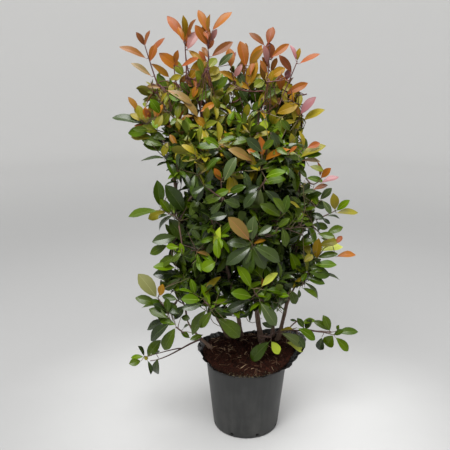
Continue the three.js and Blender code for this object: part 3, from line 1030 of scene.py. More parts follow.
@dataclass
class LeafShape:
    """The form that all the leaves share: lengths in millimetres, or shares of a leaf's length."""

    petiole: float = 0.07
    petiole_radius: float = 0.8
    petiole_taper: float = 0.8
    petiole_sides: int = 3
    stations: tuple[float, ...] = (0.0, 0.08, 0.22, 0.4, 0.58, 0.74, 0.87, 0.96, 1.0)
    widths: tuple[float, ...] = (0.09, 0.32, 0.65, 0.92, 1.0, 0.86, 0.52, 0.19, 0.0)
    rib_width: float = 1.5
    rib_most: float = 0.9
    rib_map: float = 0.04
    thickness: float = 0.45
    wave: float = 0.012
    wave_turns: Pair = (9.0, 11.0)

    def add_to(self, stock: Stock, leaves: list[Leaf]) -> None:
        """Adds leaves to a stock, all at once.

        Args:
            stock: Where they go.
            leaves: The leaves.
        """
        along = unit(np.array([leaf.along for leaf in leaves]))
        upper = np.array([leaf.upper for leaf in leaves])
        upper = unit(upper - (upper * along).sum(1, keepdims=True) * along)
        across = np.cross(upper, along)
        base = np.array([leaf.base for leaf in leaves])
        length, width, bend, fold, twist = (
            np.array([getattr(leaf, name) for leaf in leaves])[:, None]
            for name in ("length", "width", "bend", "fold", "twist")
        )
        share = self.petiole + (1 - self.petiole) * np.array(self.stations)[None]
        angle = bend * share
        ahead = length * np.sin(angle) / bend
        down = -length * (1 - np.cos(angle)) / bend
        half = width * length / 2 * np.array(self.widths)[None]
        rib = np.minimum(self.rib_width / 2 * (1.1 - share) / (1 - self.petiole), half * self.rib_most)
        thick = self.thickness * np.minimum(1.0, half / (self.rib_width * 2))
        wave, other = (
            self.wave * length * np.sin(share * turns + base[:, axis:axis + 1])
            for axis, turns in enumerate(self.wave_turns)
        )
        roll = twist * share
        # Each station's points: the upper sheet from margin to margin, then the lower sheet likewise.
        sideways = np.stack([-half, -rib, rib, half, -half, 0 * half, half], axis=-1)
        inner = rib / np.maximum(half, TINY)
        lift = np.stack([
            half * fold + wave, rib * fold + wave * inner, rib * fold + other * inner, half * fold + other,
            half * fold + wave, -thick, half * fold + other,
        ], axis=-1)
        y = sideways * np.cos(roll)[..., None] - lift * np.sin(roll)[..., None]
        z = sideways * np.sin(roll)[..., None] + lift * np.cos(roll)[..., None]
        x = ahead[..., None] + z * np.sin(angle)[..., None]
        z = down[..., None] + z * np.cos(angle)[..., None]
        points = (
            base[:, None, None] + x[..., None] * along[:, None, None]
            + y[..., None] * across[:, None, None] + z[..., None] * upper[:, None, None]
        )
        faces, sides, flat = self._sheets()
        starts = (np.arange(len(leaves)) * len(flat))[:, None, None]
        finish = np.array([leaf.finish for leaf in leaves])[:, None] + sides[None]
        stock.add(
            points.reshape(-1, 3),
            (faces[None] + starts).reshape(-1, 4),
            finish.ravel(),
            np.tile(flat, (len(leaves), 1)),
        )
        foot = angle[:, :1]
        end = base + along * length * np.sin(foot) / bend - upper * length * (1 - np.cos(foot)) / bend
        self._add_petioles(stock, base, end, across, upper, finish[:, 1])

    def _sheets(self) -> tuple[Array, Array, Array]:
        """The faces of one leaf's two sheets.

        Returns:
            The faces, the part that each belongs to (blade 0, rib 1, underside 2), and each point's place on
            the flat map.
        """
        across = np.array([0.0, 0.5 - self.rib_map, 0.5 + self.rib_map, 1.0, 0.0, 0.5, 1.0])
        columns, gaps = len(across), len(self.stations) - 1
        strips = grid_faces(gaps + 1, columns, False).reshape(gaps, columns - 1, 4)
        upward = strips[:, :3].reshape(-1, 4)[:, [0, 3, 2, 1]]
        downward = strips[:, 4:].reshape(-1, 4)
        parts = np.concatenate([np.tile([0, 1, 0], gaps), np.full(len(downward), 2)])
        flat = np.stack(np.broadcast_arrays(across[None], np.array(self.stations)[:, None]), axis=-1)
        return np.concatenate([upward, downward]), parts, flat.reshape(-1, 2)

    def _add_petioles(
        self, stock: Stock, base: Array, end: Array, across: Array, upper: Array, finish: Array,
    ) -> None:
        """Adds the stalks between the twigs and the blades.

        Args:
            stock: Where they go.
            base: Where each leaves its twig.
            end: Where its blade begins.
            across: The way across the blade.
            upper: The way that the blade's upper side faces.
            finish: The numbers of the finishes.
        """
        rings = []
        for centre, radius in ((base, self.petiole_radius), (end, self.petiole_radius * self.petiole_taper)):
            for turn in range(self.petiole_sides):
                place = turn * FULL_TURN / self.petiole_sides + math.pi / 2
                rings.append(centre + radius * (across * math.cos(place) + upper * math.sin(place)))
        points = np.stack(rings, axis=1)
        faces = grid_faces(2, self.petiole_sides, True)
        starts = (np.arange(len(base)) * len(rings))[:, None, None]
        finishes = np.repeat(finish, self.petiole_sides)
        stock.add(points.reshape(-1, 3), (faces[None] + starts).reshape(-1, 4), finishes)


# ---------------------------------------------------------------- pot, liner and root ball


@dataclass
class Pot:
    """The round nursery pot: a tapering wall with a rounded foot and drain holes."""

    height: float = 262.0
    rim: float = 145.0
    base: float = 118.0
    wall: float = 2.6
    floor: float = 3.2
    foot_round: float = 7.0
    foot_steps: int = 4
    foot_swell: float = 0.6
    wall_steps: int = 24
    wall_swell: float = 0.3
    inside_steps: int = 10
    rim_round: float = 1.3
    warp: float = 0.45
    warp_from: float = 30.0
    warp_length: float = 190.0
    sides: int = 112
    drain_holes: int = 8
    drain_from: float = 289.0
    drain_height: float = 13.0
    drain_size: Triple = (16.0, 12.0, 9.0)
    drain_points: int = 12
    drain_squareness: float = 0.6
    sharp_angle: float = 38.0

    def inner(self, height: float | Array) -> float | Array:
        """The radius of the wall's inner face at a height."""
        return lerp(self.base, self.rim, height / self.height) - self.wall

    def profile(self) -> Array:
        """The outline of the wall and floor.

        Returns:
            Its points, as rows of radius and height.
        """
        rows = [(0.0, 0.0), (self.base * 0.5, 0.0), (self.base - self.foot_round, 0.0)]
        for angle in np.linspace(math.pi / 8, math.pi / 2, self.foot_steps):
            rows.append((
                self.base + self.foot_swell - self.foot_round * (1 - math.sin(angle)),
                self.foot_round * (1 - math.cos(angle)),
            ))
        for share in np.linspace(0.06, 0.96, self.wall_steps):
            rows.append((lerp(self.base, self.rim, share) + self.wall_swell, self.height * share))
        rows += [
            (self.rim, self.height - self.rim_round),
            (self.rim - self.rim_round * 0.4, self.height - self.rim_round * 0.3),
            (self.rim - self.wall / 2, self.height),
            (self.rim - self.wall * 0.9, self.height - self.rim_round * 0.4),
        ]
        for share in np.linspace(0.97, 0.04, self.inside_steps):
            rows.append((self.inner(self.height * share), self.height * share))
        rows += [(self.inner(self.floor) - 3.0, self.floor), (0.0, self.floor)]
        return np.array(rows)

    def build(self) -> bpy.types.Object:
        """Makes the pot.

        Returns:
            The piece, which stands for the pot's solid.
        """
        angles = ring_angles(self.sides)
        rings = self.profile()[1:-1]
        points = around(angles[None], rings[:, :1], rings[:, 1:])
        outward = unit(around(angles[None], rings[:, :1], 0.0))
        strength = smoothstep(rings[:, 1], self.warp_from, self.height)[:, None, None] * self.warp
        unevenness = Ripple(3, self.warp_length, 6)(points)[..., None]
        stock = Stock()
        stock.add_closed(points + outward * unevenness * strength, np.array([UP * 0, UP * self.floor]))
        piece = stock.piece("pot_body", [PotFinish().material()])
        self._drill(piece)
        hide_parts("pot")
        return piece

    def _drill(self, piece: bpy.types.Object) -> None:
        """Cuts the drain holes through the foot of the wall.

        Args:
            piece: The pot.
        """
        deep, wide, tall = self.drain_size
        turns = ring_angles(self.drain_points)
        side = squared(np.cos(turns), self.drain_squareness) * wide / 2
        rise = squared(np.sin(turns), self.drain_squareness) * tall / 2 + self.drain_height
        stock = Stock()
        for number in range(self.drain_holes):
            angle = math.radians(self.drain_from) + number * FULL_TURN / self.drain_holes
            out, across = around(angle, 1.0, 0.0), around(angle + math.pi / 2, 1.0, 0.0)
            rings = np.stack([
                out * (self.base - 1 + reach) + across * side[:, None] + UP * rise[:, None]
                for reach in (-deep / 2, deep / 2)
            ])
            stock.add_closed(rings, rings.mean(axis=1))
        cutter = stock.piece("drain_cutter", [])
        bpy.context.view_layer.objects.active = piece
        cut = piece.modifiers.new("drains", "BOOLEAN")
        cut.operation = "DIFFERENCE"
        cut.solver = "EXACT"
        cut.object = cutter
        evaluated = piece.evaluated_get(bpy.context.evaluated_depsgraph_get())
        mesh = bpy.data.meshes.new_from_object(evaluated)
        piece.modifiers.clear()
        piece.data = mesh
        mesh.shade_smooth()
        mesh.set_sharp_from_angle(angle=math.radians(self.sharp_angle))
        bpy.data.objects.remove(cutter)


@dataclass
class Liner:
    """The crinkled black film between the pot and the root ball, standing up over the rim at the sides."""

    pot: Pot
    wall: float = 1.8
    film: float = 0.7
    tuck: float = 34.0
    rim_at: float = 0.4
    flare_round: float = 5.0
    flare_right: float = 66.0
    flare_left: float = 33.0
    right_turn: float = 0.12
    left_turn: float = 0.25
    curl: float = 1.4
    rise_front: float = 2.5
    rise_back: float = 22.0
    rise_left: float = 14.0
    rise_right: float = 48.0
    crumple: float = 2.2
    sides: int = 300
    rows: int = 30
    crinkle: float = 3.0

    def flare(self, angle: Array) -> tuple[Array, Array]:
        """How far the film stands up, and leans out past the rim.

        Args:
            angle: The directions.

        Returns:
            How far it leans out, and how high it rises, in each direction.
        """
        right = np.maximum(0, np.cos(angle - self.right_turn)) ** 2
        left = np.maximum(0, -np.cos(angle + self.left_turn)) ** 2
        away = 1 - smoothstep(-np.sin(angle), 0.05, 1.05)
        crumple = self.crumple * away * (np.sin(5 * angle + 1) + 0.6 * np.sin(8 * angle + 2))
        out = self.flare_round + self.flare_right * right + self.flare_left * left + crumple
        sides = self.rise_left * left + self.rise_right * right
        return out, self.rise_front + crumple + away * (self.rise_back + sides)

    def point(self, angle: Array, share: Array, offset: float | Array = 0.0) -> Array:
        """Points of the film.

        Args:
            angle: Their directions.
            share: How far up the film they are, from its tucked lower edge at 0 to its free edge at 1.
            offset: How far outside the middle of the film they are.

        Returns:
            The points.
        """
        out, rise = self.flare(angle)
        below = np.maximum(0, 1 - share / self.rim_at)
        over = np.maximum(0, (share - self.rim_at) / (1 - self.rim_at))
        z = self.pot.height - self.tuck * below + rise * over
        middle = self.pot.inner(np.minimum(z, self.pot.height)) - CLEARANCE - self.wall / 2
        return around(angle, middle + out * over**self.curl + offset, z)

    def build(self) -> bpy.types.Object:
        """Makes the film.

        Returns:
            The piece, which stands for the liner's solid.
        """
        angles = ring_angles(self.sides)
        shares = np.linspace(0, 1, self.rows + 1)
        free = smoothstep(shares, self.rim_at, 1.0)[:, None]
        middle = self.point(angles[None], shares[:, None])
        outward = around(angles, 1.0, 0.0)[None]
        folds, creases, edge = Ripple(11, 58.0), Ripple(12, 34.0), Ripple(13, 30.0)
        stretched = middle * vec(1.0, 1.0, 0.45)
        push = self.crinkle * free * (folds(stretched) * 0.9 + 0.55 - creases.creased(stretched))
        lift = free**2 * (edge(middle * vec(1.0, 1.0, 0.0)) * 0.9 + folds(middle) * 1.1)
        middle = middle + outward * push[..., None] + UP * lift[..., None]
        stock = Stock()
        for side in (1, -1):
            sheet = middle + outward * (side * self.film / 2)
            faces = grid_faces(len(shares), self.sides, True)
            stock.add(sheet.reshape(-1, 3), faces if side > 0 else faces[:, ::-1])
        count = len(shares) * self.sides
        ring = np.arange(self.sides)
        after = (ring + 1) % self.sides
        top = count - self.sides
        stock.faces.append((
            np.concatenate([
                np.stack([ring + top, after + top, after + top + count, ring + top + count], axis=1),
                np.stack([after, ring, ring + count, after + count], axis=1),
            ]),
            np.zeros(2 * self.sides, int),
        ))
        piece = stock.piece("liner_film", [FilmFinish().material()])
        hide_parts("liner")
        return piece


@dataclass
class RootBall:
    """The root ball: a mound of fibrous compost with crumbs, straw and a few grains of moss at the front."""

    pot: Pot
    liner: Liner
    crown_height: float = 306.0
    fall: float = 2.4
    brim_at: float = 0.8
    beside_liner: float = 3.6
    lump: float = 9.0
    sides: int = 220
    rings: int = 70
    side_rings: int = 8
    relief: float = 3.4
    crumbs: int = 1500
    crumb_sizes: Pair = (1.6, 5.4)
    straws: int = 150
    straw_lengths: Pair = (9.0, 34.0)
    straw_radii: Pair = (0.5, 1.3)
    pale_straw_every: int = 3
    moss_grains: int = 560
    moss_sizes: Pair = (1.0, 3.2)
    moss_brink: float = 1.035
    pale_moss_every: int = 6

    def beside(self, angle: float | Array, share: float) -> Array:
        """The root ball's side in each direction, just inside the liner at a share of its height."""
        offset = -self.liner.wall / 2 - self.beside_liner
        return self.liner.point(angle, np.full_like(np.asarray(angle, float), share), offset)

    def surface(self, angle: float | Array, share: float | Array) -> Array:
        """Points of the upper surface.

        Args:
            angle: Their directions.
            share: How far out they are, as a share of the surface's radius.

        Returns:
            The points.
        """
        share = np.asarray(share, float)
        edge = self.beside(angle, self.brim_at)
        lumps = np.sin(3 * angle + 7 * share) + np.sin(5 * angle - 11 * share + 2)
        height = lerp(self.crown_height, edge[..., 2], share**self.fall)
        height = height + self.lump * share * (1 - share) * lumps
        return around(angle, np.hypot(edge[..., 0], edge[..., 1]) * share, height)

    def ground(self, x: float, y: float) -> float:
        """The height of the surface under a place.

        Args:
            x: The place's x.
            y: Its y.

        Returns:
            The height, which past the edge is the edge's.
        """
        angle = math.atan2(y, x)
        edge = self.beside(angle, self.brim_at)
        share = min(1.0, math.hypot(x, y) / math.hypot(edge[0], edge[1]))
        return float(self.surface(angle, share)[2])

    def _rough(self, points: Array) -> Array:
        """How far the rough surface stands over the even one at each point."""
        big, small, fine = Ripple(21, 34.0), Ripple(22, 13.0), Ripple(23, 6.5)
        return self.relief * (0.7 * big(points) + 0.6 * small(points) + 0.45 * fine(points))

    def build(self) -> list[bpy.types.Object]:
        """Makes the root ball and what lies on it.

        Returns:
            The pieces; the mound stands for the root ball's solid.
        """
        finish = CompostFinish(
            "compost", (0.0020, 0.0009, 0.0006), (0.058, 0.016, 0.008), (0.24, 0.14, 0.08)).material()
        mound = self._mound(finish)
        draw = np.random.default_rng(31)
        crumbs = Stock()
        for _ in range(self.crumbs):
            centre = self.surface(draw.uniform(0, FULL_TURN), math.sqrt(draw.uniform(0, 0.97)))
            centre = centre + UP * self._rough(centre[None])[0]
            self._grain(crumbs, draw, centre, draw.uniform(*self.crumb_sizes))
        litter = crumbs.piece("compost_crumbs", [finish])
        return [mound, litter, self._straw(draw), self._moss(draw)]

    def _mound(self, finish: bpy.types.Material) -> bpy.types.Object:
        """Makes the closed mound, from its underside to its uneven top.

        Args:
            finish: Its material.

        Returns:
            The piece, which stands for the root ball's solid.
        """
        angles = ring_angles(self.sides)
        bottom = self.pot.floor + 2 * CLEARANCE
        inset = self.liner.wall + self.beside_liner + CLEARANCE
        rings = [around(angles, self.pot.inner(bottom) - inset - 2 * self.pot.wall, bottom)]
        for share in np.linspace(0.0, self.brim_at, self.side_rings, endpoint=False):
            rings.append(self.beside(angles, share))
        shares = np.linspace(1.0, 0.01, self.rings)
        top = self.surface(angles[None], shares[:, None])
        fade = np.clip((1 - shares) * 12, 0.25, 1.0)[:, None]
        top[..., 2] += self._rough(top) * fade
        ends = np.array([UP * bottom, UP * top[-1, :, 2].mean()])
        stock = Stock()
        stock.add_closed(np.concatenate([np.array(rings), top]), ends)
        piece = stock.piece("root_ball_mound", [finish])
        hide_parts("root_ball")
        return piece

    @staticmethod
    def _grain(stock: Stock, draw: np.random.Generator, centre: Array, size: float, finish: int = 0) -> None:
        """Adds one uneven crumb: a pinched octahedron with its corners moved about.

        Args:
            stock: Where it goes.
            draw: The stream of chance.
            centre: Its middle.
            size: Its rough radius.
            finish: The number of its finish.
        """
        corners = np.array([[1, 0, 0], [-1, 0, 0], [0, 1, 0], [0, -1, 0], [0, 0, 0.8], [0, 0, -0.8]], float)
        corners = corners * draw.uniform(0.55, 1.25, (6, 1)) + draw.uniform(-0.25, 0.25, (6, 3))
        turn = draw.uniform(0, FULL_TURN)
        cos, sin = math.cos(turn), math.sin(turn)
        spin = np.array([[cos, -sin, 0], [sin, cos, 0], [0, 0, 1]])
        faces = np.array([
            [0, 2, 4], [2, 1, 4], [1, 3, 4], [3, 0, 4], [2, 0, 5], [1, 2, 5], [3, 1, 5], [0, 3, 5],
        ])
        stock.add(centre + (corners @ spin.T) * size, faces, finish)

    def _straw(self, draw: np.random.Generator) -> bpy.types.Object:
        """Makes the bits of straw and root fibre that lie on the compost.

        Args:
            draw: The stream of chance.

        Returns:
            The piece.
        """
        stock = Stock()
        for number in range(self.straws):
            middle = self.surface(draw.uniform(0, FULL_TURN), math.sqrt(draw.uniform(0.02, 0.92)))
            way = around(draw.uniform(0, FULL_TURN), 1.0, draw.uniform(-0.15, 0.15))
            length = draw.uniform(*self.straw_lengths)
            start, end = middle - way * length / 2, middle + way * length / 2
            start[2] = max(start[2], self.ground(*start[:2])) + 2.0
            end[2] = max(end[2], self.ground(*end[:2])) + draw.uniform(1.0, 7.0)
            bow = UP * draw.uniform(-0.1, 0.5)
            path = Path3.between(start, unit(way + bow), end, unit(way - bow))
            pale = number % self.pale_straw_every == self.pale_straw_every - 1
            Tube(path, draw.uniform(*self.straw_radii), 0.4, 4, 5).add_to(stock, int(pale))
        piece = stock.piece("straw", [
            SoftFinish("straw_brown", (0.16, 0.085, 0.045), 0.8).material(),
            SoftFinish("straw_pale", (0.52, 0.36, 0.21), 0.75).material(),
        ])
        return piece

    def _moss(self, draw: np.random.Generator) -> bpy.types.Object:
        """Makes the paler grains of moss and grit along the front of the rim.

        Args:
            draw: The stream of chance.

        Returns:
            The piece.
        """
        stock = Stock()
        for number in range(self.moss_grains):
            pale = number % self.pale_moss_every == 0
            angle = -math.pi / 2 + draw.normal(0, 0.3 if pale else 0.6)
            share = self.moss_brink - abs(draw.normal(0, 0.03 if pale else 0.05))
            centre = self.surface(angle, share) + UP * draw.uniform(0.5, 3.0)
            self._grain(stock, draw, centre, draw.uniform(*self.moss_sizes), int(pale))
        grit = CompostFinish("moss_grit", (0.005, 0.003, 0.002), (0.055, 0.026, 0.014), (0.34, 0.28, 0.2))
        moss = CompostFinish("moss_pale", (0.080, 0.066, 0.036), (0.240, 0.210, 0.125), (0.50, 0.46, 0.34))
        piece = stock.piece("moss_grit", [grit.material(), moss.material()])
        return piece


# ---------------------------------------------------------------- stems and boughs


@dataclass
class Stem:
    """A stem: its foot on the root ball, its lean there, its radius above the flare, and its tip."""

    foot: Pair
    leans: Pair
    radius: float
    tip: Triple


@dataclass
class Mass:
    """A mass of foliage: its heart, its stem, and where and how it grows from it.

    It keeps to the points nearer to its own heart than to any other's. With a fork it has a bough of its
    own from that height, with a bare height it grows straight from the stem's side, and otherwise it grows
    on from the stem's tip. Its tips are the ends of the shoots that stand out.
    """

    heart: Triple
    stem: str
    fork: float = 0.0
    bare: float = 0.0
    reach: float = 122.0
    twigs: int = 4
    tips: tuple[Triple, ...] = ()
    fine: int = 6
    leaf: float = 76.0


STEMS: dict[str, Stem] = {
    "stem_1": Stem((-15, 92), (-0.12, -0.05), 7.6, (-152, 10, 1110)),
    "stem_2": Stem((58, 45), (-0.2, -0.04), 9.2, (30, -22, 1118)),
    "stem_3": Stem((116, 46), (0.24, -0.04), 7.2, (176, 22, 1040)),
    "stem_4": Stem((-126, 4), (-0.8, 0), 5.6, (-214, -12, 440)),
    "stem_5": Stem((-60, 76), (-0.5, -0.08), 7.0, (-256, -18, 1100)),
    "stem_6": Stem((100, 88), (0.06, 0.04), 6.6, (-14, 96, 1080)),
}
MASSES: dict[str, Mass] = {
    "low_front": Mass(
        (78, -40, 372), "stem_3", bare=345, reach=80, twigs=2, fine=0, leaf=60,
        tips=((56, -78, 350), (100, -92, 392))),
    "low_left": Mass(
        (-290, -30, 305), "stem_4", bare=335, reach=95, twigs=0, fine=0, leaf=60,
        tips=((-342, -56, 278), (-302, -70, 272))),
    "low_right": Mass(
        (250, -10, 362), "stem_3", bare=352, reach=95, twigs=2, fine=0, leaf=60,
        tips=((300, -22, 376), (226, -60, 352))),
    "skirt_left": Mass((-238, -22, 525), "stem_4", tips=((-300, -50, 580), (-300, -60, 470))),
    "skirt_front_left": Mass((-118, -135, 505), "stem_5", fork=420),
    "skirt_front_right": Mass((54, -140, 555), "stem_2", fork=405),
    "skirt_right": Mass((176, -20, 580), "stem_3", fork=440, tips=((262, -20, 655),)),
    "skirt_back_right": Mass((120, 165, 570), "stem_6", fork=420),
    "skirt_back_left": Mass((-115, 175, 560), "stem_1", fork=430),
    "waist_left": Mass((-200, -30, 765), "stem_5", fork=600, tips=((-312, -50, 795),)),
    "waist_front_left": Mass((-98, -150, 765), "stem_1", fork=560),
    "waist_front_right": Mass((74, -150, 800), "stem_2", fork=600),
    "waist_right": Mass((192, -10, 800), "stem_3", fork=630, tips=((284, -20, 812),)),
    "waist_back_right": Mass((110, 165, 800), "stem_6", fork=610),
    "waist_back_left": Mass((-110, 175, 785), "stem_1", fork=650),
    "shoulder_left": Mass((-245, -20, 1000), "stem_5", fork=850, tips=((-352, -50, 1092),)),
    "shoulder_front_left": Mass((-126, -145, 1000), "stem_5", fork=790),
    "shoulder_front_right": Mass((42, -145, 1030), "stem_2", fork=820),
    "shoulder_right": Mass((160, -20, 1000), "stem_3", fork=810, tips=((195, -60, 1040),)),
    "shoulder_back_right": Mass((95, 160, 1020), "stem_6", fork=840),
    "shoulder_back_left": Mass((-135, 165, 1020), "stem_1", fork=850),
    "top_left": Mass((-282, -40, 1215), "stem_5", tips=((-322, -40, 1338),), leaf=72),
    "top_tall": Mass(
        (-165, -38, 1235), "stem_1", leaf=72,
        tips=((-204, -10, 1368), (-124, -60, 1378), (-248, -40, 1270))),
    "top_back_left": Mass((-165, 135, 1210), "stem_1", fork=985, tips=((-172, 140, 1330),), leaf=72),
    "top_middle": Mass((-40, 90, 1215), "stem_6", tips=((-61, 70, 1293), (-15, 90, 1323)), leaf=72),
    "top_front": Mass((34, -62, 1220), "stem_2", tips=((67, -50, 1340), (-17, -80, 1290)), leaf=72),
    "top_right": Mass((152, 12, 1185), "stem_3", tips=((150, 10, 1290), (190, -20, 1205)), leaf=72),
}


@dataclass(frozen=True)
class Blade:
    """A leaf that shows against the sky or stands out by its colour.

    Its base and tip are places in the front view's frame, and its width is the one that shows there, as a
    share of its length.
    """

    base: Pair
    tip: Pair
    tint: Tint
    width: float


@dataclass(frozen=True)
class Spray:
    """A shoot that is drawn leaf by leaf.

    It grows from its mass's nearest twig through a foot to a tip, places in the front view's frame at a
    depth y. Each row of its leaves gives a Blade's values: the place of the base, the place of the tip, the
    tint and the width. A twin is a like shoot behind it, in another mass and at another depth.
    """

    mass: str
    depth: float
    foot: Pair
    tip: Pair
    rows: tuple[tuple[float, float, float, float, Tint, float], ...]
    twin: tuple[str, float] | None = None
    radius: float = 2.7

    def blades(self) -> list[Blade]:
        """Its leaves."""
        return [Blade(row[0:2], row[2:4], *row[4:]) for row in self.rows]


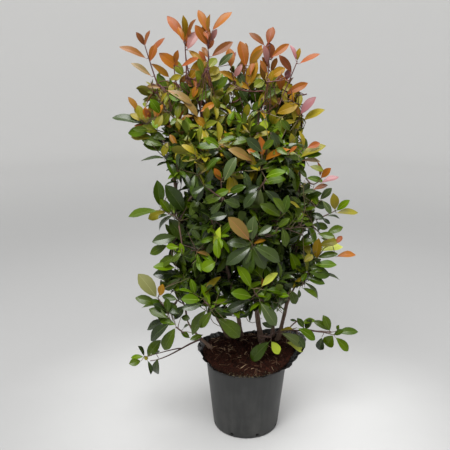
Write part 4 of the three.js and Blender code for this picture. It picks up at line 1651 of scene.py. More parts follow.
SPRAYS: tuple[Spray, ...] = (
    Spray("top_left", -40, (158, 88), (145, 46), (
        (145, 46, 136, 32, BRONZE, 0.34), (145, 46, 150, 30, BRONZE, 0.20),
        (150, 62, 156, 44, ORANGE, 0.40), (150, 56, 165, 38, RED, 0.20),
        (147, 59, 119, 47, BRONZE, 0.20), (152, 77, 131, 63, TAN, 0.22),
        (150, 63, 169, 77, BRONZE, 0.26), (167, 92, 157, 74, GREEN, 0.40),
        (161, 88, 147, 86, TAN, 0.28), (162, 91, 147, 92, OLIVE, 0.30),
        (158, 95, 149, 110, FRESH, 0.28), (170, 80, 181, 75, OLIVE, 0.35),
        (166, 90, 192, 104, TAN, 0.24), (168, 95, 180, 100, FRESH, 0.50),
        (171, 97, 172, 84, OLIVE, 0.44), (175, 112, 174, 99, FRESH, 0.44),
    )),
    Spray("top_tall", -10, (187, 75), (185, 46), (
        (185, 40, 167, 16, RED, 0.30), (184, 42, 178, 27, ORANGE, 0.34),
        (184, 40, 183, 15, GOLD, 0.22), (186, 48, 189, 28, ORANGE, 0.42),
        (188, 40, 196, 19, BRONZE, 0.15), (187, 50, 198, 31, PINK, 0.40),
        (188, 50, 203, 62, GOLD, 0.30), (189, 80, 206, 59, GOLD, 0.38),
        (189, 96, 181, 82, GREEN, 0.44), (188, 100, 203, 88, OLIVE, 0.40),
        (183, 73, 159, 53, ORANGE, 0.34), (184, 76, 171, 60, OLIVE, 0.42),
        (190, 86, 176, 89, OLIVE, 0.45), (195, 70, 205, 85, OLIVE, 0.55),
        (184, 92, 196, 99, OLIVE, 0.45), (188, 74, 180, 84, BRONZE, 0.40),
    ), ("top_back_left", 135)),
    Spray("top_tall", -45, (176, 90), (174, 66), (
        (181, 67, 199, 58, RED, 0.22), (175, 64, 178, 50, ORANGE, 0.36),
        (174, 82, 182, 75, OLIVE, 0.35), (173, 93, 198, 118, TAN, 0.17),
        (180, 102, 177, 119, OLIVE, 0.36), (193, 116, 207, 127, GOLD, 0.45),
    )),
    Spray("top_tall", -60, (210, 66), (208, 49), (
        (208, 33, 198, 10, RED, 0.32), (209, 34, 210, 14, BRONZE, 0.18),
        (212, 31, 232, 12, RED, 0.24), (207, 46, 195, 25, ORANGE, 0.38),
        (207, 45, 204, 24, ORANGE, 0.44), (208, 50, 213, 38, RED, 0.50),
        (210, 42, 217, 29, PINK, 0.36), (211, 57, 233, 42, BRONZE, 0.30),
        (209, 68, 216, 58, OLIVE, 0.60), (208, 76, 219, 68, OLIVE, 0.60),
        (206, 81, 196, 71, OLIVE, 0.50), (206, 80, 201, 92, OLIVE, 0.42),
        (193, 98, 197, 86, ORANGE, 0.48), (213, 91, 228, 77, GREEN, 0.42),
        (198, 101, 211, 91, GREEN, 0.42), (212, 96, 219, 108, OLIVE, 0.40),
        (208, 40, 205, 30, RED, 0.50), (208, 58, 202, 47, BRONZE, 0.36),
        (211, 82, 221, 73, OLIVE, 0.50), (210, 100, 202, 84, GREEN, 0.44),
        (205, 120, 208, 107, OLIVE, 0.44), (218, 112, 214, 99, OLIVE, 0.46),
        (200, 112, 215, 103, ORANGE, 0.36), (203, 74, 198, 58, OLIVE, 0.34),
        (206, 62, 199, 51, RED, 0.34), (211, 88, 206, 72, BRONZE, 0.30),
    ), ("top_back_left", 95)),
    Spray("top_middle", 70, (234, 86), (231, 67), (
        (231, 68, 229, 48, RED, 0.44), (231, 64, 236, 52, PINK, 0.25),
        (218, 67, 233, 53, SAGE, 0.30), (222, 94, 233, 84, SAGE, 0.48),
        (234, 92, 244, 84, OLIVE, 0.44), (236, 102, 226, 112, GREEN, 0.44),
        (224, 107, 229, 94, OLIVE, 0.44), (233, 109, 237, 96, FRESH, 0.44),
    ), ("top_back_left", 150)),
    Spray("top_middle", 40, (247, 100), (246, 66), (
        (246, 68, 240, 41, ORANGE, 0.38), (249, 66, 262, 45, ORANGE, 0.34),
        (245, 62, 246, 43, BRONZE, 0.34), (243, 63, 235, 77, PINK, 0.36),
        (247, 89, 257, 60, GOLD, 0.34), (237, 71, 244, 84, SAGE, 0.50),
        (251, 69, 257, 56, PINK, 0.40), (243, 96, 238, 113, GREEN, 0.45),
        (249, 88, 259, 101, GREEN, 0.50), (246, 100, 233, 104, GREEN, 0.40),
        (248, 102, 239, 88, DARK, 0.46), (248, 84, 262, 74, OLIVE, 0.36),
        (246, 118, 248, 104, OLIVE, 0.48), (252, 110, 243, 103, FRESH, 0.44),
        (241, 92, 238, 77, OLIVE, 0.40), (251, 92, 253, 78, OLIVE, 0.42),
        (250, 76, 254, 62, ORANGE, 0.30), (244, 76, 241, 60, BRONZE, 0.30),
    ), ("top_middle", 150)),
    Spray("top_front", -50, (267, 78), (270, 45), (
        (268, 45, 273, 27, RED, 0.44), (265, 46, 249, 33, BRONZE, 0.26),
        (266, 47, 250, 64, BRONZE, 0.28), (272, 60, 268, 42, RED, 0.50),
        (271, 58, 289, 44, ORANGE, 0.30), (267, 64, 264, 45, PINK, 0.28),
        (260, 62, 264, 80, BRONZE, 0.30),
        (269, 78, 285, 68, GOLD, 0.42), (265, 80, 254, 87, OLIVE, 0.60),
        (262, 88, 277, 107, GOLD, 0.27), (266, 119, 263, 130, LIME, 0.75),
        (268, 94, 281, 90, OLIVE, 0.40), (264, 100, 252, 110, GREEN, 0.44),
        (270, 68, 262, 57, ORANGE, 0.36), (271, 72, 277, 58, BRONZE, 0.34),
        (266, 92, 256, 78, GREEN, 0.44), (265, 100, 275, 88, GREEN, 0.44),
        (262, 122, 266, 110, FRESH, 0.50), (272, 124, 274, 110, OLIVE, 0.45),
        (279, 105, 264, 87, OLIVE, 0.28), (269, 86, 273, 70, GOLD, 0.32),
        (267, 74, 260, 60, RED, 0.30),
    ), ("top_middle", 105)),
    Spray("top_front", 0, (282, 98), (297, 62), (
        (296, 61, 290, 45, PINK, 0.22), (297, 61, 300, 48, GOLD, 0.34),
        (299, 64, 320, 54, RED, 0.20), (292, 73, 279, 55, RED, 0.30),
        (286, 80, 290, 69, PINK, 0.46), (281, 91, 280, 73, ORANGE, 0.44),
        (285, 95, 308, 83, ORANGE, 0.30), (280, 97, 274, 108, BRONZE, 0.50),
        (276, 114, 298, 105, GOLD, 0.42), (284, 104, 291, 118, OLIVE, 0.42),
        (292, 112, 293, 94, ORANGE, 0.28), (286, 106, 283, 90, OLIVE, 0.34),
    ), ("top_right", 70)),
    Spray("top_right", -20, (294, 128), (300, 116), (
        (300, 115, 316, 97, PINK, 0.32), (303, 121, 325, 110, OLIVE, 0.26),
        (299, 116, 296, 106, BRONZE, 0.40), (293, 110, 294, 92, GOLD, 0.26),
        (294, 122, 291, 104, OLIVE, 0.30), (301, 118, 294, 129, OLIVE, 0.55),
        (290, 131, 281, 120, GREEN, 0.42),
    ), ("top_right", 60)),
    Spray("shoulder_left", -60, (152, 132), (140, 120), (
        (138, 113, 128, 97, BRONZE, 0.30), (141, 120, 138, 105, OLIVE, 0.50),
        (146, 119, 145, 107, ORANGE, 0.50), (150, 126, 139, 112, OLIVE, 0.34),
        (151, 118, 144, 109, RED, 0.40), (155, 118, 158, 103, BRONZE, 0.30),
        (157, 118, 163, 104, ORANGE, 0.30), (142, 124, 112, 118, DARK, 0.24),
        (150, 128, 134, 126, BRONZE, 0.26), (151, 131, 128, 133, FRESH, 0.40),
        (153, 137, 131, 137, OLIVE, 0.34),
        (163, 114, 156, 128, OLIVE, 0.50), (171, 110, 161, 126, OLIVE, 0.45),
        (152, 120, 157, 129, FRESH, 0.45), (150, 119, 134, 109, OLIVE, 0.42),
        (153, 125, 137, 119, GREEN, 0.44), (158, 132, 141, 126, OLIVE, 0.44),
        (160, 114, 150, 99, FRESH, 0.42), (166, 140, 150, 133, GREEN, 0.44),
        (146, 122, 130, 114, OLIVE, 0.34), (148, 130, 133, 129, GREEN, 0.40),
    )),
    Spray("shoulder_left", -60, (172, 150), (162, 140), (
        (170, 150, 143, 144, GREEN, 0.36), (166, 158, 141, 161, DARK, 0.12),
        (171, 163, 157, 166, DARK, 0.16), (177, 168, 166, 171, DARK, 0.16),
        (180, 172, 168, 179, FRESH, 0.26), (195, 171, 184, 178, FRESH, 0.50),
        (163, 146, 141, 138, GREEN, 0.40), (168, 142, 163, 156, OLIVE, 0.45),
    )),
    Spray("shoulder_right", -60, (290, 160), (302, 150), (
        (303, 149, 299, 131, OLIVE, 0.22), (292, 149, 291, 133, OLIVE, 0.34),
        (300, 158, 326, 146, OLIVE, 0.28), (307, 148, 320, 143, RED, 0.44),
        (300, 157, 322, 154, FRESH, 0.30), (302, 161, 320, 162, TAN, 0.24),
        (317, 161, 320, 176, BRONZE, 0.22), (297, 148, 292, 135, GREEN, 0.40),
        (309, 166, 324, 171, OLIVE, 0.34), (306, 178, 323, 182, FRESH, 0.32),
    )),
    Spray("shoulder_front_right", -181, (286, 158), (292, 149), (
        (292, 149, 264, 160, ORANGE, 0.22), (289, 153, 297, 146, ORANGE, 0.34),
        (288, 155, 276, 148, GREEN, 0.40), (287, 157, 299, 158, GREEN, 0.40),
    )),
    Spray("waist_right", -60, (300, 172), (312, 187), (), radius=1.3),
    Spray("shoulder_right", -80, (313, 190), (322, 177), (
        (321, 178, 331, 168, ORANGE, 0.42), (321, 183, 339, 177, PINK, 0.26),
        (313, 190, 328, 185, BRONZE, 0.30),
    )),
    Spray("waist_left", -70, (172, 216), (162, 209), (
        (160, 207, 157, 180, GREEN, 0.38), (158, 211, 128, 217, GREEN, 0.24),
        (167, 211, 148, 219, OLIVE, 0.42), (168, 215, 158, 218, DARK, 0.26),
        (174, 215, 159, 231, DARK, 0.16), (185, 213, 165, 185, DARK, 0.40),
        (171, 214, 160, 199, GREEN, 0.42),
        (179, 182, 166, 185, DARK, 0.14),
    )),
    Spray("waist_left", -70, (176, 246), (168, 246), (
        (177, 237, 152, 242, DARK, 0.42), (168, 245, 150, 254, GREEN, 0.42),
        (176, 257, 159, 266, GREEN, 0.40), (176, 268, 153, 267, FRESH, 0.34),
        (179, 273, 153, 275, DARK, 0.42), (186, 243, 169, 219, DARK, 0.42),
        (175, 256, 162, 260, GREEN, 0.42),
    )),
    Spray("waist_right", -50, (308, 212), (318, 204), (
        (320, 200, 332, 188, SAGE, 0.42), (318, 206, 312, 194, FRESH, 0.48),
        (300, 194, 317, 191, SAGE, 0.25), (322, 200, 331, 214, SAGE, 0.34),
        (310, 213, 324, 219, DARK, 0.42), (316, 220, 318, 232, DARK, 0.24),
        (303, 205, 311, 195, GREEN, 0.40), (301, 212, 316, 208, GREEN, 0.20),
        (306, 198, 322, 193, GREEN, 0.42), (309, 202, 326, 207, DARK, 0.42),
    )),
    Spray("waist_right", -45, (322, 217), (335, 211), (
        (335, 210, 333, 193, OLIVE, 0.42), (336, 211, 350, 200, FRESH, 0.36),
        (336, 213, 358, 213, OLIVE, 0.26), (326, 216, 340, 219, DARK, 0.16),
        (322, 218, 330, 224, DARK, 0.40),
    )),
    Spray("waist_right", -45, (316, 230), (331, 243), (
        (326, 234, 343, 227, GREEN, 0.40), (334, 244, 331, 233, RED, 0.40),
        (336, 244, 342, 236, RED, 0.50), (319, 251, 343, 247, LIME, 0.27),
        (316, 259, 319, 238, GOLD, 0.38), (315, 250, 307, 225, FRESH, 0.20),
        (321, 238, 331, 241, GREEN, 0.40), (317, 258, 338, 254, GREEN, 0.30),
        (336, 257, 356, 255, ORANGE, 0.28), (313, 265, 337, 265, FRESH, 0.32),
        (310, 256, 304, 243, OLIVE, 0.48), (295, 246, 314, 241, GREEN, 0.34),
        (312, 224, 328, 228, GREEN, 0.40), (318, 234, 335, 237, GREEN, 0.40),
        (318, 246, 339, 241, OLIVE, 0.36),
    )),
    Spray("waist_right", -70, (296, 222), (302, 226), (
        (303, 226, 292, 244, GREEN, 0.42), (304, 262, 313, 255, OLIVE, 0.60),
        (289, 251, 298, 274, FRESH, 0.34), (290, 196, 301, 206, GREEN, 0.30),
    )),
    Spray("skirt_right", -60, (300, 280), (308, 274), (
        (308, 268, 325, 269, GREEN, 0.48), (308, 272, 330, 275, GREEN, 0.44),
        (312, 277, 340, 280, DARK, 0.10), (305, 278, 325, 284, GREEN, 0.34),
        (303, 282, 318, 300, GREEN, 0.16), (302, 288, 317, 298, GREEN, 0.26),
        (289, 289, 296, 304, GREEN, 0.45), (299, 289, 299, 298, DARK, 0.40),
    )),
    Spray("skirt_left", -90, (170, 317), (158, 298), (
        (157, 298, 138, 274, PALE, 0.46), (160, 296, 163, 284, GOLD, 0.50),
        (158, 304, 135, 298, GREEN, 0.38), (162, 306, 142, 308, FRESH, 0.18),
        (168, 318, 149, 309, GREEN, 0.42), (168, 320, 147, 330, DARK, 0.28),
        (171, 323, 151, 341, DARK, 0.32), (176, 327, 164, 350, GREEN, 0.38),
        (178, 300, 162, 296, GREEN, 0.42), (181, 278, 166, 290, DARK, 0.36),
        (162, 302, 178, 312, OLIVE, 0.45), (191, 277, 180, 289, GREEN, 0.34),
        (168, 312, 166, 298, GREEN, 0.46), (174, 320, 184, 306, DARK, 0.40),
        (173, 322, 157, 316, GREEN, 0.42), (171, 314, 153, 304, DARK, 0.38),
        (177, 318, 169, 303, GREEN, 0.42), (165, 308, 150, 300, GREEN, 0.40),
        (176, 325, 160, 321, FRESH, 0.36), (179, 314, 168, 310, DARK, 0.44),
    ), radius=3.6),
    Spray("skirt_front_left", -90, (208, 325), (231, 329), (), radius=1.5),
    Spray("skirt_front_right", -60, (246, 331), (262, 318), (), radius=1.5),
    Spray("skirt_left", -100, (190, 338), (178, 328), (
        (181, 317, 190, 319, DARK, 0.60), (190, 338, 181, 332, FRESH, 0.45),
        (203, 335, 190, 340, GREEN, 0.38), (183, 329, 189, 325, DARK, 0.20),
    )),
    Spray("low_left", -50, (180, 347), (145, 357), (
        (144, 357, 131, 358, FRESH, 0.34), (141, 361, 129, 364, GREEN, 0.60),
        (144, 356, 138, 346, DARK, 0.25), (147.5, 360.5, 151, 374.5, DARK, 0.28),
        (158.5, 358, 157, 374, DARK, 0.32), (147, 357, 161, 340, GREEN, 0.36),
        (149, 356, 160, 351, GREEN, 0.32), (148, 359, 144, 358, OLIVE, 0.80),
    )),
    Spray("low_right", -10, (297, 326), (334, 335), (
        (330, 331, 313, 321, GREEN, 0.32), (330, 331, 323, 315, GREEN, 0.42),
        (336, 333, 358, 332, GREEN, 0.32), (338, 331, 339, 325, FRESH, 0.30),
        (333, 335, 327, 346, GREEN, 0.80), (335, 337, 348, 351, FRESH, 0.36),
        (322, 337, 320, 350, DARK, 0.50), (301, 324, 315, 320, FRESH, 0.34),
        (297, 321, 290, 320, DARK, 0.35), (304, 328, 297, 318, GREEN, 0.44),
        (305, 329, 312, 319, DARK, 0.40), (334, 335, 344, 330, GREEN, 0.40),
    )),
    Spray("low_right", -60, (283, 332), (296, 328), (
        (297, 328, 315, 340, FRESH, 0.34), (280, 331, 293, 329, OLIVE, 0.22),
        (281, 333, 303, 347, SAGE, 0.30), (294, 333, 305, 348, DARK, 0.42),
        (286, 342, 303, 352, LIME, 0.30),
    )),
    Spray("low_front", -105, (273, 336), (271, 340), (
        (270, 341, 251, 361, GREEN, 0.40), (271, 341, 279, 354, LIME, 0.55),
        (273, 328, 262, 323, DARK, 0.42),
    )),
    Spray("shoulder_front_right", -191, (262, 160), (262, 156), (
        (253, 162, 228, 149, TAN, 0.30), (262, 158, 260, 136, ORANGE, 0.32),
        (262, 150, 274, 140, GREEN, 0.40), (262, 152, 246, 138, DARK, 0.42),
        (260, 155, 247, 150, ORANGE, 0.42),
    )),
    Spray("waist_front_left", -204, (222, 190), (221, 182), (
        (221, 181, 214, 168, ORANGE, 0.40), (224, 182, 236, 157, SAGE, 0.36),
        (243, 170, 248, 190, DARK, 0.34),
    )),
    Spray("waist_front_left", -211, (219, 232), (220, 226), (
        (221, 225, 218, 253, LIME, 0.24), (216, 262, 202, 270, FRESH, 0.72),
        (209, 219, 227, 215, DARK, 0.44), (196, 252, 210, 256, TAN, 0.26),
    )),
    Spray("waist_front_right", -216, (252, 254), (252, 246), (
        (250, 241, 228, 217, TAN, 0.38), (252, 246, 265, 269, DARK, 0.40),
        (253, 246, 280, 262, DARK, 0.34), (252, 246, 226, 265, DARK, 0.38),
        (251, 245, 226, 243, DARK, 0.36), (252, 241, 254, 216, SAGE, 0.42),
        (253, 244, 266, 240, GOLD, 0.26), (252, 247, 248, 274, GREEN, 0.40),
    )),
    Spray("shoulder_front_left", -188, (218, 152), (219, 147), (
        (219, 148, 196, 147, GREEN, 0.28), (220, 147, 205, 138, FRESH, 0.40),
        (228, 145, 250, 139, GREEN, 0.30), (220, 150, 207, 156, DARK, 0.40),
        (222, 150, 232, 160, DARK, 0.38), (198, 160, 184, 166, GREEN, 0.36),
    )),
    Spray("shoulder_front_left", -210, (222, 200), (222, 196), (
        (228, 193, 246, 186, GREEN, 0.36), (212, 197, 229, 190, FRESH, 0.42),
        (202, 203, 222, 196, GREEN, 0.36), (205, 186, 191, 194, DARK, 0.40),
        (223, 200, 240, 206, DARK, 0.42), (222, 202, 211, 214, DARK, 0.40),
        (226, 202, 230, 218, DARK, 0.42), (228, 198, 246, 200, DARK, 0.38),
    )),
    Spray("shoulder_front_right", -202, (262, 188), (263, 182), (
        (261, 188, 258, 207, SAGE, 0.48), (262, 184, 286, 179, FRESH, 0.32),
        (265, 178, 286, 172, FRESH, 0.30), (264, 190, 280, 203, DARK, 0.36),
        (260, 186, 244, 194, DARK, 0.40), (258, 190, 244, 208, DARK, 0.40),
    )),
    Spray("waist_front_right", -202, (276, 236), (277, 229), (
        (258, 235, 272, 226, DARK, 0.44), (282, 226, 286, 247, GREEN, 0.34),
        (278, 228, 290, 218, GREEN, 0.36), (276, 232, 268, 248, DARK, 0.38),
    )),
    Spray("waist_left", -170, (184, 254), (181, 249), (
        (179, 248, 166, 246, FRESH, 0.42), (183, 255, 180, 243, FRESH, 0.42),
        (183, 256, 196, 262, DARK, 0.40), (182, 252, 172, 262, GREEN, 0.40),
    )),
    Spray("skirt_front_left", -198, (204, 302), (204, 299), (
        (201, 300, 181, 299, FRESH, 0.50), (204, 297, 221, 277, OLIVE, 0.22),
        (207, 309, 192, 335, GREEN, 0.28), (212, 311, 200, 328, GREEN, 0.36),
        (212, 303, 230, 303, FRESH, 0.30), (203, 304, 182, 309, DARK, 0.40),
        (217, 318, 240, 337, GREEN, 0.46),
    )),
    Spray("skirt_front_right", -208, (254, 294), (254, 290), (
        (251, 288, 237, 266, FRESH, 0.32), (261, 287, 278, 273, LIME, 0.30),
        (252, 297, 231, 293, FRESH, 0.44), (260, 302, 276, 326, SAGE, 0.40),
        (262, 288, 262, 278, BRONZE, 0.30), (265, 290, 287, 293, GREEN, 0.30),
        (249, 301, 226, 312, DARK, 0.38),
    )),
)


@dataclass
class Body:
    """The crown's body, apart from the shoots that stand out: how far it reaches at a few heights."""

    heights: tuple[float, ...] = (
        400, 485, 560, 650, 740, 810, 900, 970, 1010, 1060, 1115, 1170, 1220, 1310)
    left: tuple[float, ...] = (
        -260, -290, -305, -275, -262, -256, -262, -246, -262, -325, -365, -345, -310, -290)
    right: tuple[float, ...] = (
        125, 180, 215, 245, 235, 222, 208, 182, 180, 186, 178, 176, 162, 145)
    front: tuple[float, ...] = (
        -230, -262, -266, -266, -266, -266, -266, -262, -258, -250, -232, -196, -150, -110)
    back: tuple[float, ...] = (
        250, 290, 300, 300, 300, 300, 300, 300, 296, 290, 275, 250, 215, 180)
    across: tuple[float, ...] = (-330, -200, -120, 40, 110, 150, 300)
    hem: tuple[float, ...] = (560, 500, 440, 420, 470, 530, 560)
    hem_rise: float = 0.34
    ceiling: float = 1234.0
    clump: float = 32.0
    roundness: float = 2.6
    clumps: Ripple = field(default_factory=lambda: Ripple(51, 120.0, 7))

    def share(self, point: Array) -> float:
        """How far out a place is.

        Args:
            point: The place.

        Returns:
            Under 1 inside the body's oval at that height, and infinite below its hem or above its ceiling.
        """
        if point[2] < np.interp(point[0], self.across, self.hem) + self.hem_rise * max(0.0, -point[1]):
            return math.inf
        if point[2] > self.ceiling + self.clump * float(self.clumps(point * vec(1.0, 1.0, 0.0))):
            return math.inf
        left, right, front, back = (
            np.interp(point[2], self.heights, edge)
            for edge in (self.left, self.right, self.front, self.back)
        )
        across = (2 * point[0] - left - right) / (right - left)
        deep = (2 * point[1] - front - back) / (back - front)
        return float(np.abs(across) ** self.roundness + np.abs(deep) ** self.roundness)


class Territory:
    """Which mass each place belongs to."""

    def __init__(self) -> None:
        """Gathers the hearts."""
        self.names = list(MASSES)
        self.hearts = np.array([mass.heart for mass in MASSES.values()], dtype=float)

    def nearest(self, point: Array) -> str:
        """The mass that a place belongs to."""
        return self.names[int(np.linalg.norm(self.hearts - point, axis=1).argmin())]

    def inside(self, name: str, point: Array) -> float:
        """How well inside a mass's own space a point is.

        Args:
            name: The mass's name.
            point: The point.

        Returns:
            How much nearer it is to the mass's own heart than to the nearest other.
        """
        distances = np.linalg.norm(self.hearts - point, axis=1)
        own = self.names.index(name)
        return float(np.delete(distances, own).min() - distances[own])


@dataclass
class Limbs:
    """The stems, and the boughs that fork from them and end inside their masses."""

    root_ball: RootBall
    territory: Territory
    embed: float = 3.0
    tip_share: float = 0.42
    flare: float = 0.55
    stem_sides: int = 14
    stem_steps: int = 150
    bough_radius: float = 5.2
    stem_share: float = 0.72
    bough_tip: float = 3.12
    bough_flare: float = 0.5
    bough_flare_length: float = 9.0
    bough_sides: int = 10
    bough_steps: int = 36
    leaving: Pair = (0.7, 0.6)
    upturn: float = 0.25
    shortest: float = 0.4
    longest: float = 0.9
    search_step: float = 0.02
    depth: float = 20.0
    upper_roughness: float = 0.45
    ridge: float = 0.42
    knot: float = 0.2
    scar: float = 0.32
    scar_spacing: float = 11.0
    scar_sharpness: float = 26.0
    stems: dict[str, Path3] = field(default_factory=dict)
    boughs: dict[str, Path3] = field(default_factory=dict)

    def grow(self) -> None:
        """Works out the middle lines of all the limbs."""
        for name, stem in STEMS.items():
            start = vec(*stem.foot, self.root_ball.ground(*stem.foot) - self.embed)
            self.stems[name] = Path3.between(start, unit(vec(*stem.leans, 1.0)), vec(*stem.tip), UP)
        for name, mass in MASSES.items():
            if mass.fork:
                self.boughs[name] = self._bough(name, mass)

    def _entry(self, name: str, start: Array, heart: Array) -> Array:
        """Where the way from a fork to a heart is well inside the mass's own space.

        Args:
            name: The mass's name.
            start: The fork.
            heart: The heart.

        Returns:
            The place.
        """
        for share in np.arange(self.shortest, self.longest, self.search_step):
            point = lerp(start, heart, share)
            if self.territory.inside(name, point) > self.depth:
                return point
        return lerp(start, heart, self.longest)

    def _bough(self, name: str, mass: Mass) -> Path3:
        """The middle line of a mass's bough.

        Args:
            name: The mass's name.
            mass: Its sizes.

        Returns:
            The line, from the stem to just inside the mass's own space.
        """
        stem = self.stems[mass.stem]
        share = stem.at_height(mass.fork)
        start, heart = stem.at(share), vec(*mass.heart)
        way = unit(heart - start)
        leaving = unit(stem.tangent(share) * self.leaving[0] + way * self.leaving[1])
        return Path3.between(start, leaving, self._entry(name, start, heart), unit(way + UP * self.upturn))

    def build(self) -> list[bpy.types.Object]:
        """Makes the bark of the stems and of the boughs.

        Returns:
            The two pieces, which stand for all the limbs' solids.
        """
        finish = BarkFinish("bark", (0.070, 0.040, 0.028), (0.200, 0.125, 0.085), (0.32, 0.24, 0.18))
        bark = finish.material()
        ridges, knots = Ripple(41, 15.0), Ripple(42, 5.0)

        def relief(points: Array, shares: Array) -> Array:
            """Bark that is rough near the foot and smoother higher up, with rings of scars.

            Args:
                points: The points of a limb.
                shares: How far along it they are.

            Returns:
                How far out the bark stands at each.
            """
            rough = lerp(1.0, self.upper_roughness, shares)
            stretched = points * vec(1.0, 1.0, 0.35)
            scars = np.exp(-((np.sin(points[..., 2] / self.scar_spacing)) ** 2) * self.scar_sharpness)
            return rough * (self.ridge * ridges(stretched) + self.knot * knots(points)) + self.scar * scars

        trunks = Stock()
        for name, path in self.stems.items():
            radius = STEMS[name].radius
            tip = radius * self.tip_share
            Tube(path, radius, tip, self.stem_sides, self.stem_steps, self.flare).add_to(trunks, 0, relief)
        stems = trunks.piece("stems_bark", [bark])
        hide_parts(*self.stems)
        forks = Stock()
        for name, path in self.boughs.items():
            foot = min(self.bough_radius, STEMS[MASSES[name].stem].radius * self.stem_share)
            limb = Tube(
                path, foot, self.bough_tip, self.bough_sides, self.bough_steps, self.bough_flare,
                self.bough_flare_length,
            )
            limb.add_to(forks, 0, relief)
        boughs = forks.piece("boughs_bark", [bark])
        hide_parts(*(f"bough_{name}" for name in self.boughs))
        return [stems, boughs]


# ---------------------------------------------------------------- foliage


@dataclass(frozen=True)
class Habit:
    """How shoots of one age fork and hold their leaves, with the angles in degrees."""

    forks: Pair
    lift: float
    open_foot: float
    open_tip: float
    sway: float
    narrowing: float


MATURE = Habit(forks=(38, 62), lift=0.32, open_foot=72, open_tip=24, sway=0.8, narrowing=1.0)
YOUNG = Habit(forks=(24, 40), lift=0.6, open_foot=46, open_tip=12, sway=1.3, narrowing=0.86)


@dataclass
class Shoot:
    """A leafy shoot."""

    path: Path3
    foot: float
    tip: float
    leaves: int
    first: float
    size: float
    tint: Tint
    stands_out: bool = False
    young: bool = False

    @property
    def habit(self) -> Habit:
        """The habit of its age."""
        return YOUNG if self.young else MATURE


class Wood(Enum):
    """The finishes of twigs, by their numbers in a twig piece."""

    BROWN = 0
    RED = 1
    GREEN = 2


@dataclass(frozen=True)
class Band:
    """The tints of the sprays above a height and right of a place, each with its chance."""

    above: float
    chances: tuple[tuple[Tint, float], ...]
    right_of: float = -math.inf


# A spray has the tints of the first band that it is in.
BANDS: tuple[Band, ...] = (
    Band(1275, ((ORANGE, 0.34), (RED, 0.20), (BRONZE, 0.26), (PINK, 0.06), (GOLD, 0.14))),
    Band(1185, ((OLIVE, 0.50), (FRESH, 0.20), (GOLD, 0.12), (BRONZE, 0.08), (ORANGE, 0.10))),
    Band(1110, ((OLIVE, 0.50), (FRESH, 0.28), (GREEN, 0.06), (BRONZE, 0.08), (GOLD, 0.08))),
    Band(1050, ((OLIVE, 0.44), (FRESH, 0.34), (GREEN, 0.10), (BRONZE, 0.06), (GOLD, 0.06))),
    Band(-math.inf, ((GREEN, 0.40), (FRESH, 0.20), (OLIVE, 0.14), (DARK, 0.22), (SAGE, 0.04)), right_of=170),
    Band(980, ((GREEN, 0.24), (DARK, 0.08), (OLIVE, 0.30), (FRESH, 0.34), (BRONZE, 0.04))),
    Band(700, ((DARK, 0.42), (GREEN, 0.35), (FRESH, 0.19), (SAGE, 0.04))),
    Band(-math.inf, ((DARK, 0.30), (GREEN, 0.38), (FRESH, 0.29), (OLIVE, 0.02), (LIME, 0.01))),
)


@dataclass(frozen=True)
class FineTwigs:
    """The finer twigs of a shoot, and how they are shortened until they have room."""

    sides: int = 5
    steps: int = 5
    along: Pair = (0.3, 0.88)
    lengths: Pair = (48.0, 92.0)
    tries: int = 6
    shorten: float = 0.84
    shortest: float = 30.0
    reach: float = 1.02
    inside: float = 6.0
    room: float = 12.0
    radius: float = 1.7
    tip_radius: float = 0.7
    leaf_step: float = 6.8
    first_leaf: float = 0.18
    extra_in_shade: int = 2
    extra_in_light: int = 5
    sizes: Pair = (0.82, 1.05)


@dataclass(frozen=True)
class SideShoots:
    """The short leafy shoots that fill the crown's inside, straight from the stems."""

    seed: int = 9001
    lowest: float = 500.0
    step: float = 26.0
    below_tip: float = 20.0
    blur: float = 30.0
    middle: Pair = (-30.0, 20.0)
    turn: float = 3.6
    lifts: Pair = (0.2, 0.8)
    lengths: Pair = (80.0, 150.0)
    droop: float = 0.1
    upturn: float = 0.3
    room: float = 20.0
    radius: float = 2.2
    tip_radius: float = 0.9
    leaves: int = 7
    first_leaf: float = 0.3
    size: float = 82.0
    twigs: int = 2


@dataclass(frozen=True)
class LeafHabit:
    """How grown leaves vary: their sizes, and how far they may reach from their mass."""

    spacing: float = 0.8
    jitter: float = 22.0
    turn: float = 0.5
    sag: float = 0.32
    sag_spread: float = 0.5
    upright: float = 0.8
    lengths: Pair = (0.7, 1.22)
    tip_loss: float = 0.28
    widths: Pair = (0.27, 0.38)
    bends: Pair = (0.25, 1.0)
    folds: Pair = (0.16, 0.55)
    twist: float = 0.8
    overhang: float = 1.22
    allowance: float = 14.0
    outside: float = 26.0
    room: float = 2.0
    straying: float = 0.22


@dataclass(frozen=True)
class DrawnLeaves:
    """How drawn leaves are set and kept in sight."""

    foot_share: float = 0.9
    tip_taper: float = 0.55
    stalk_tip: float = 0.8
    stray_depth: float = 46.0
    joined: float = 5.0
    fullness: float = 1.06
    young_width: float = 0.31
    mature_width: float = 0.40
    most_faced: float = 0.97
    bends: Pair = (0.3, 0.9)
    cleared: float = 1.6
    overlap: float = 0.08
    samples: tuple[float, ...] = (0.3, 0.55, 0.8, 1.0)


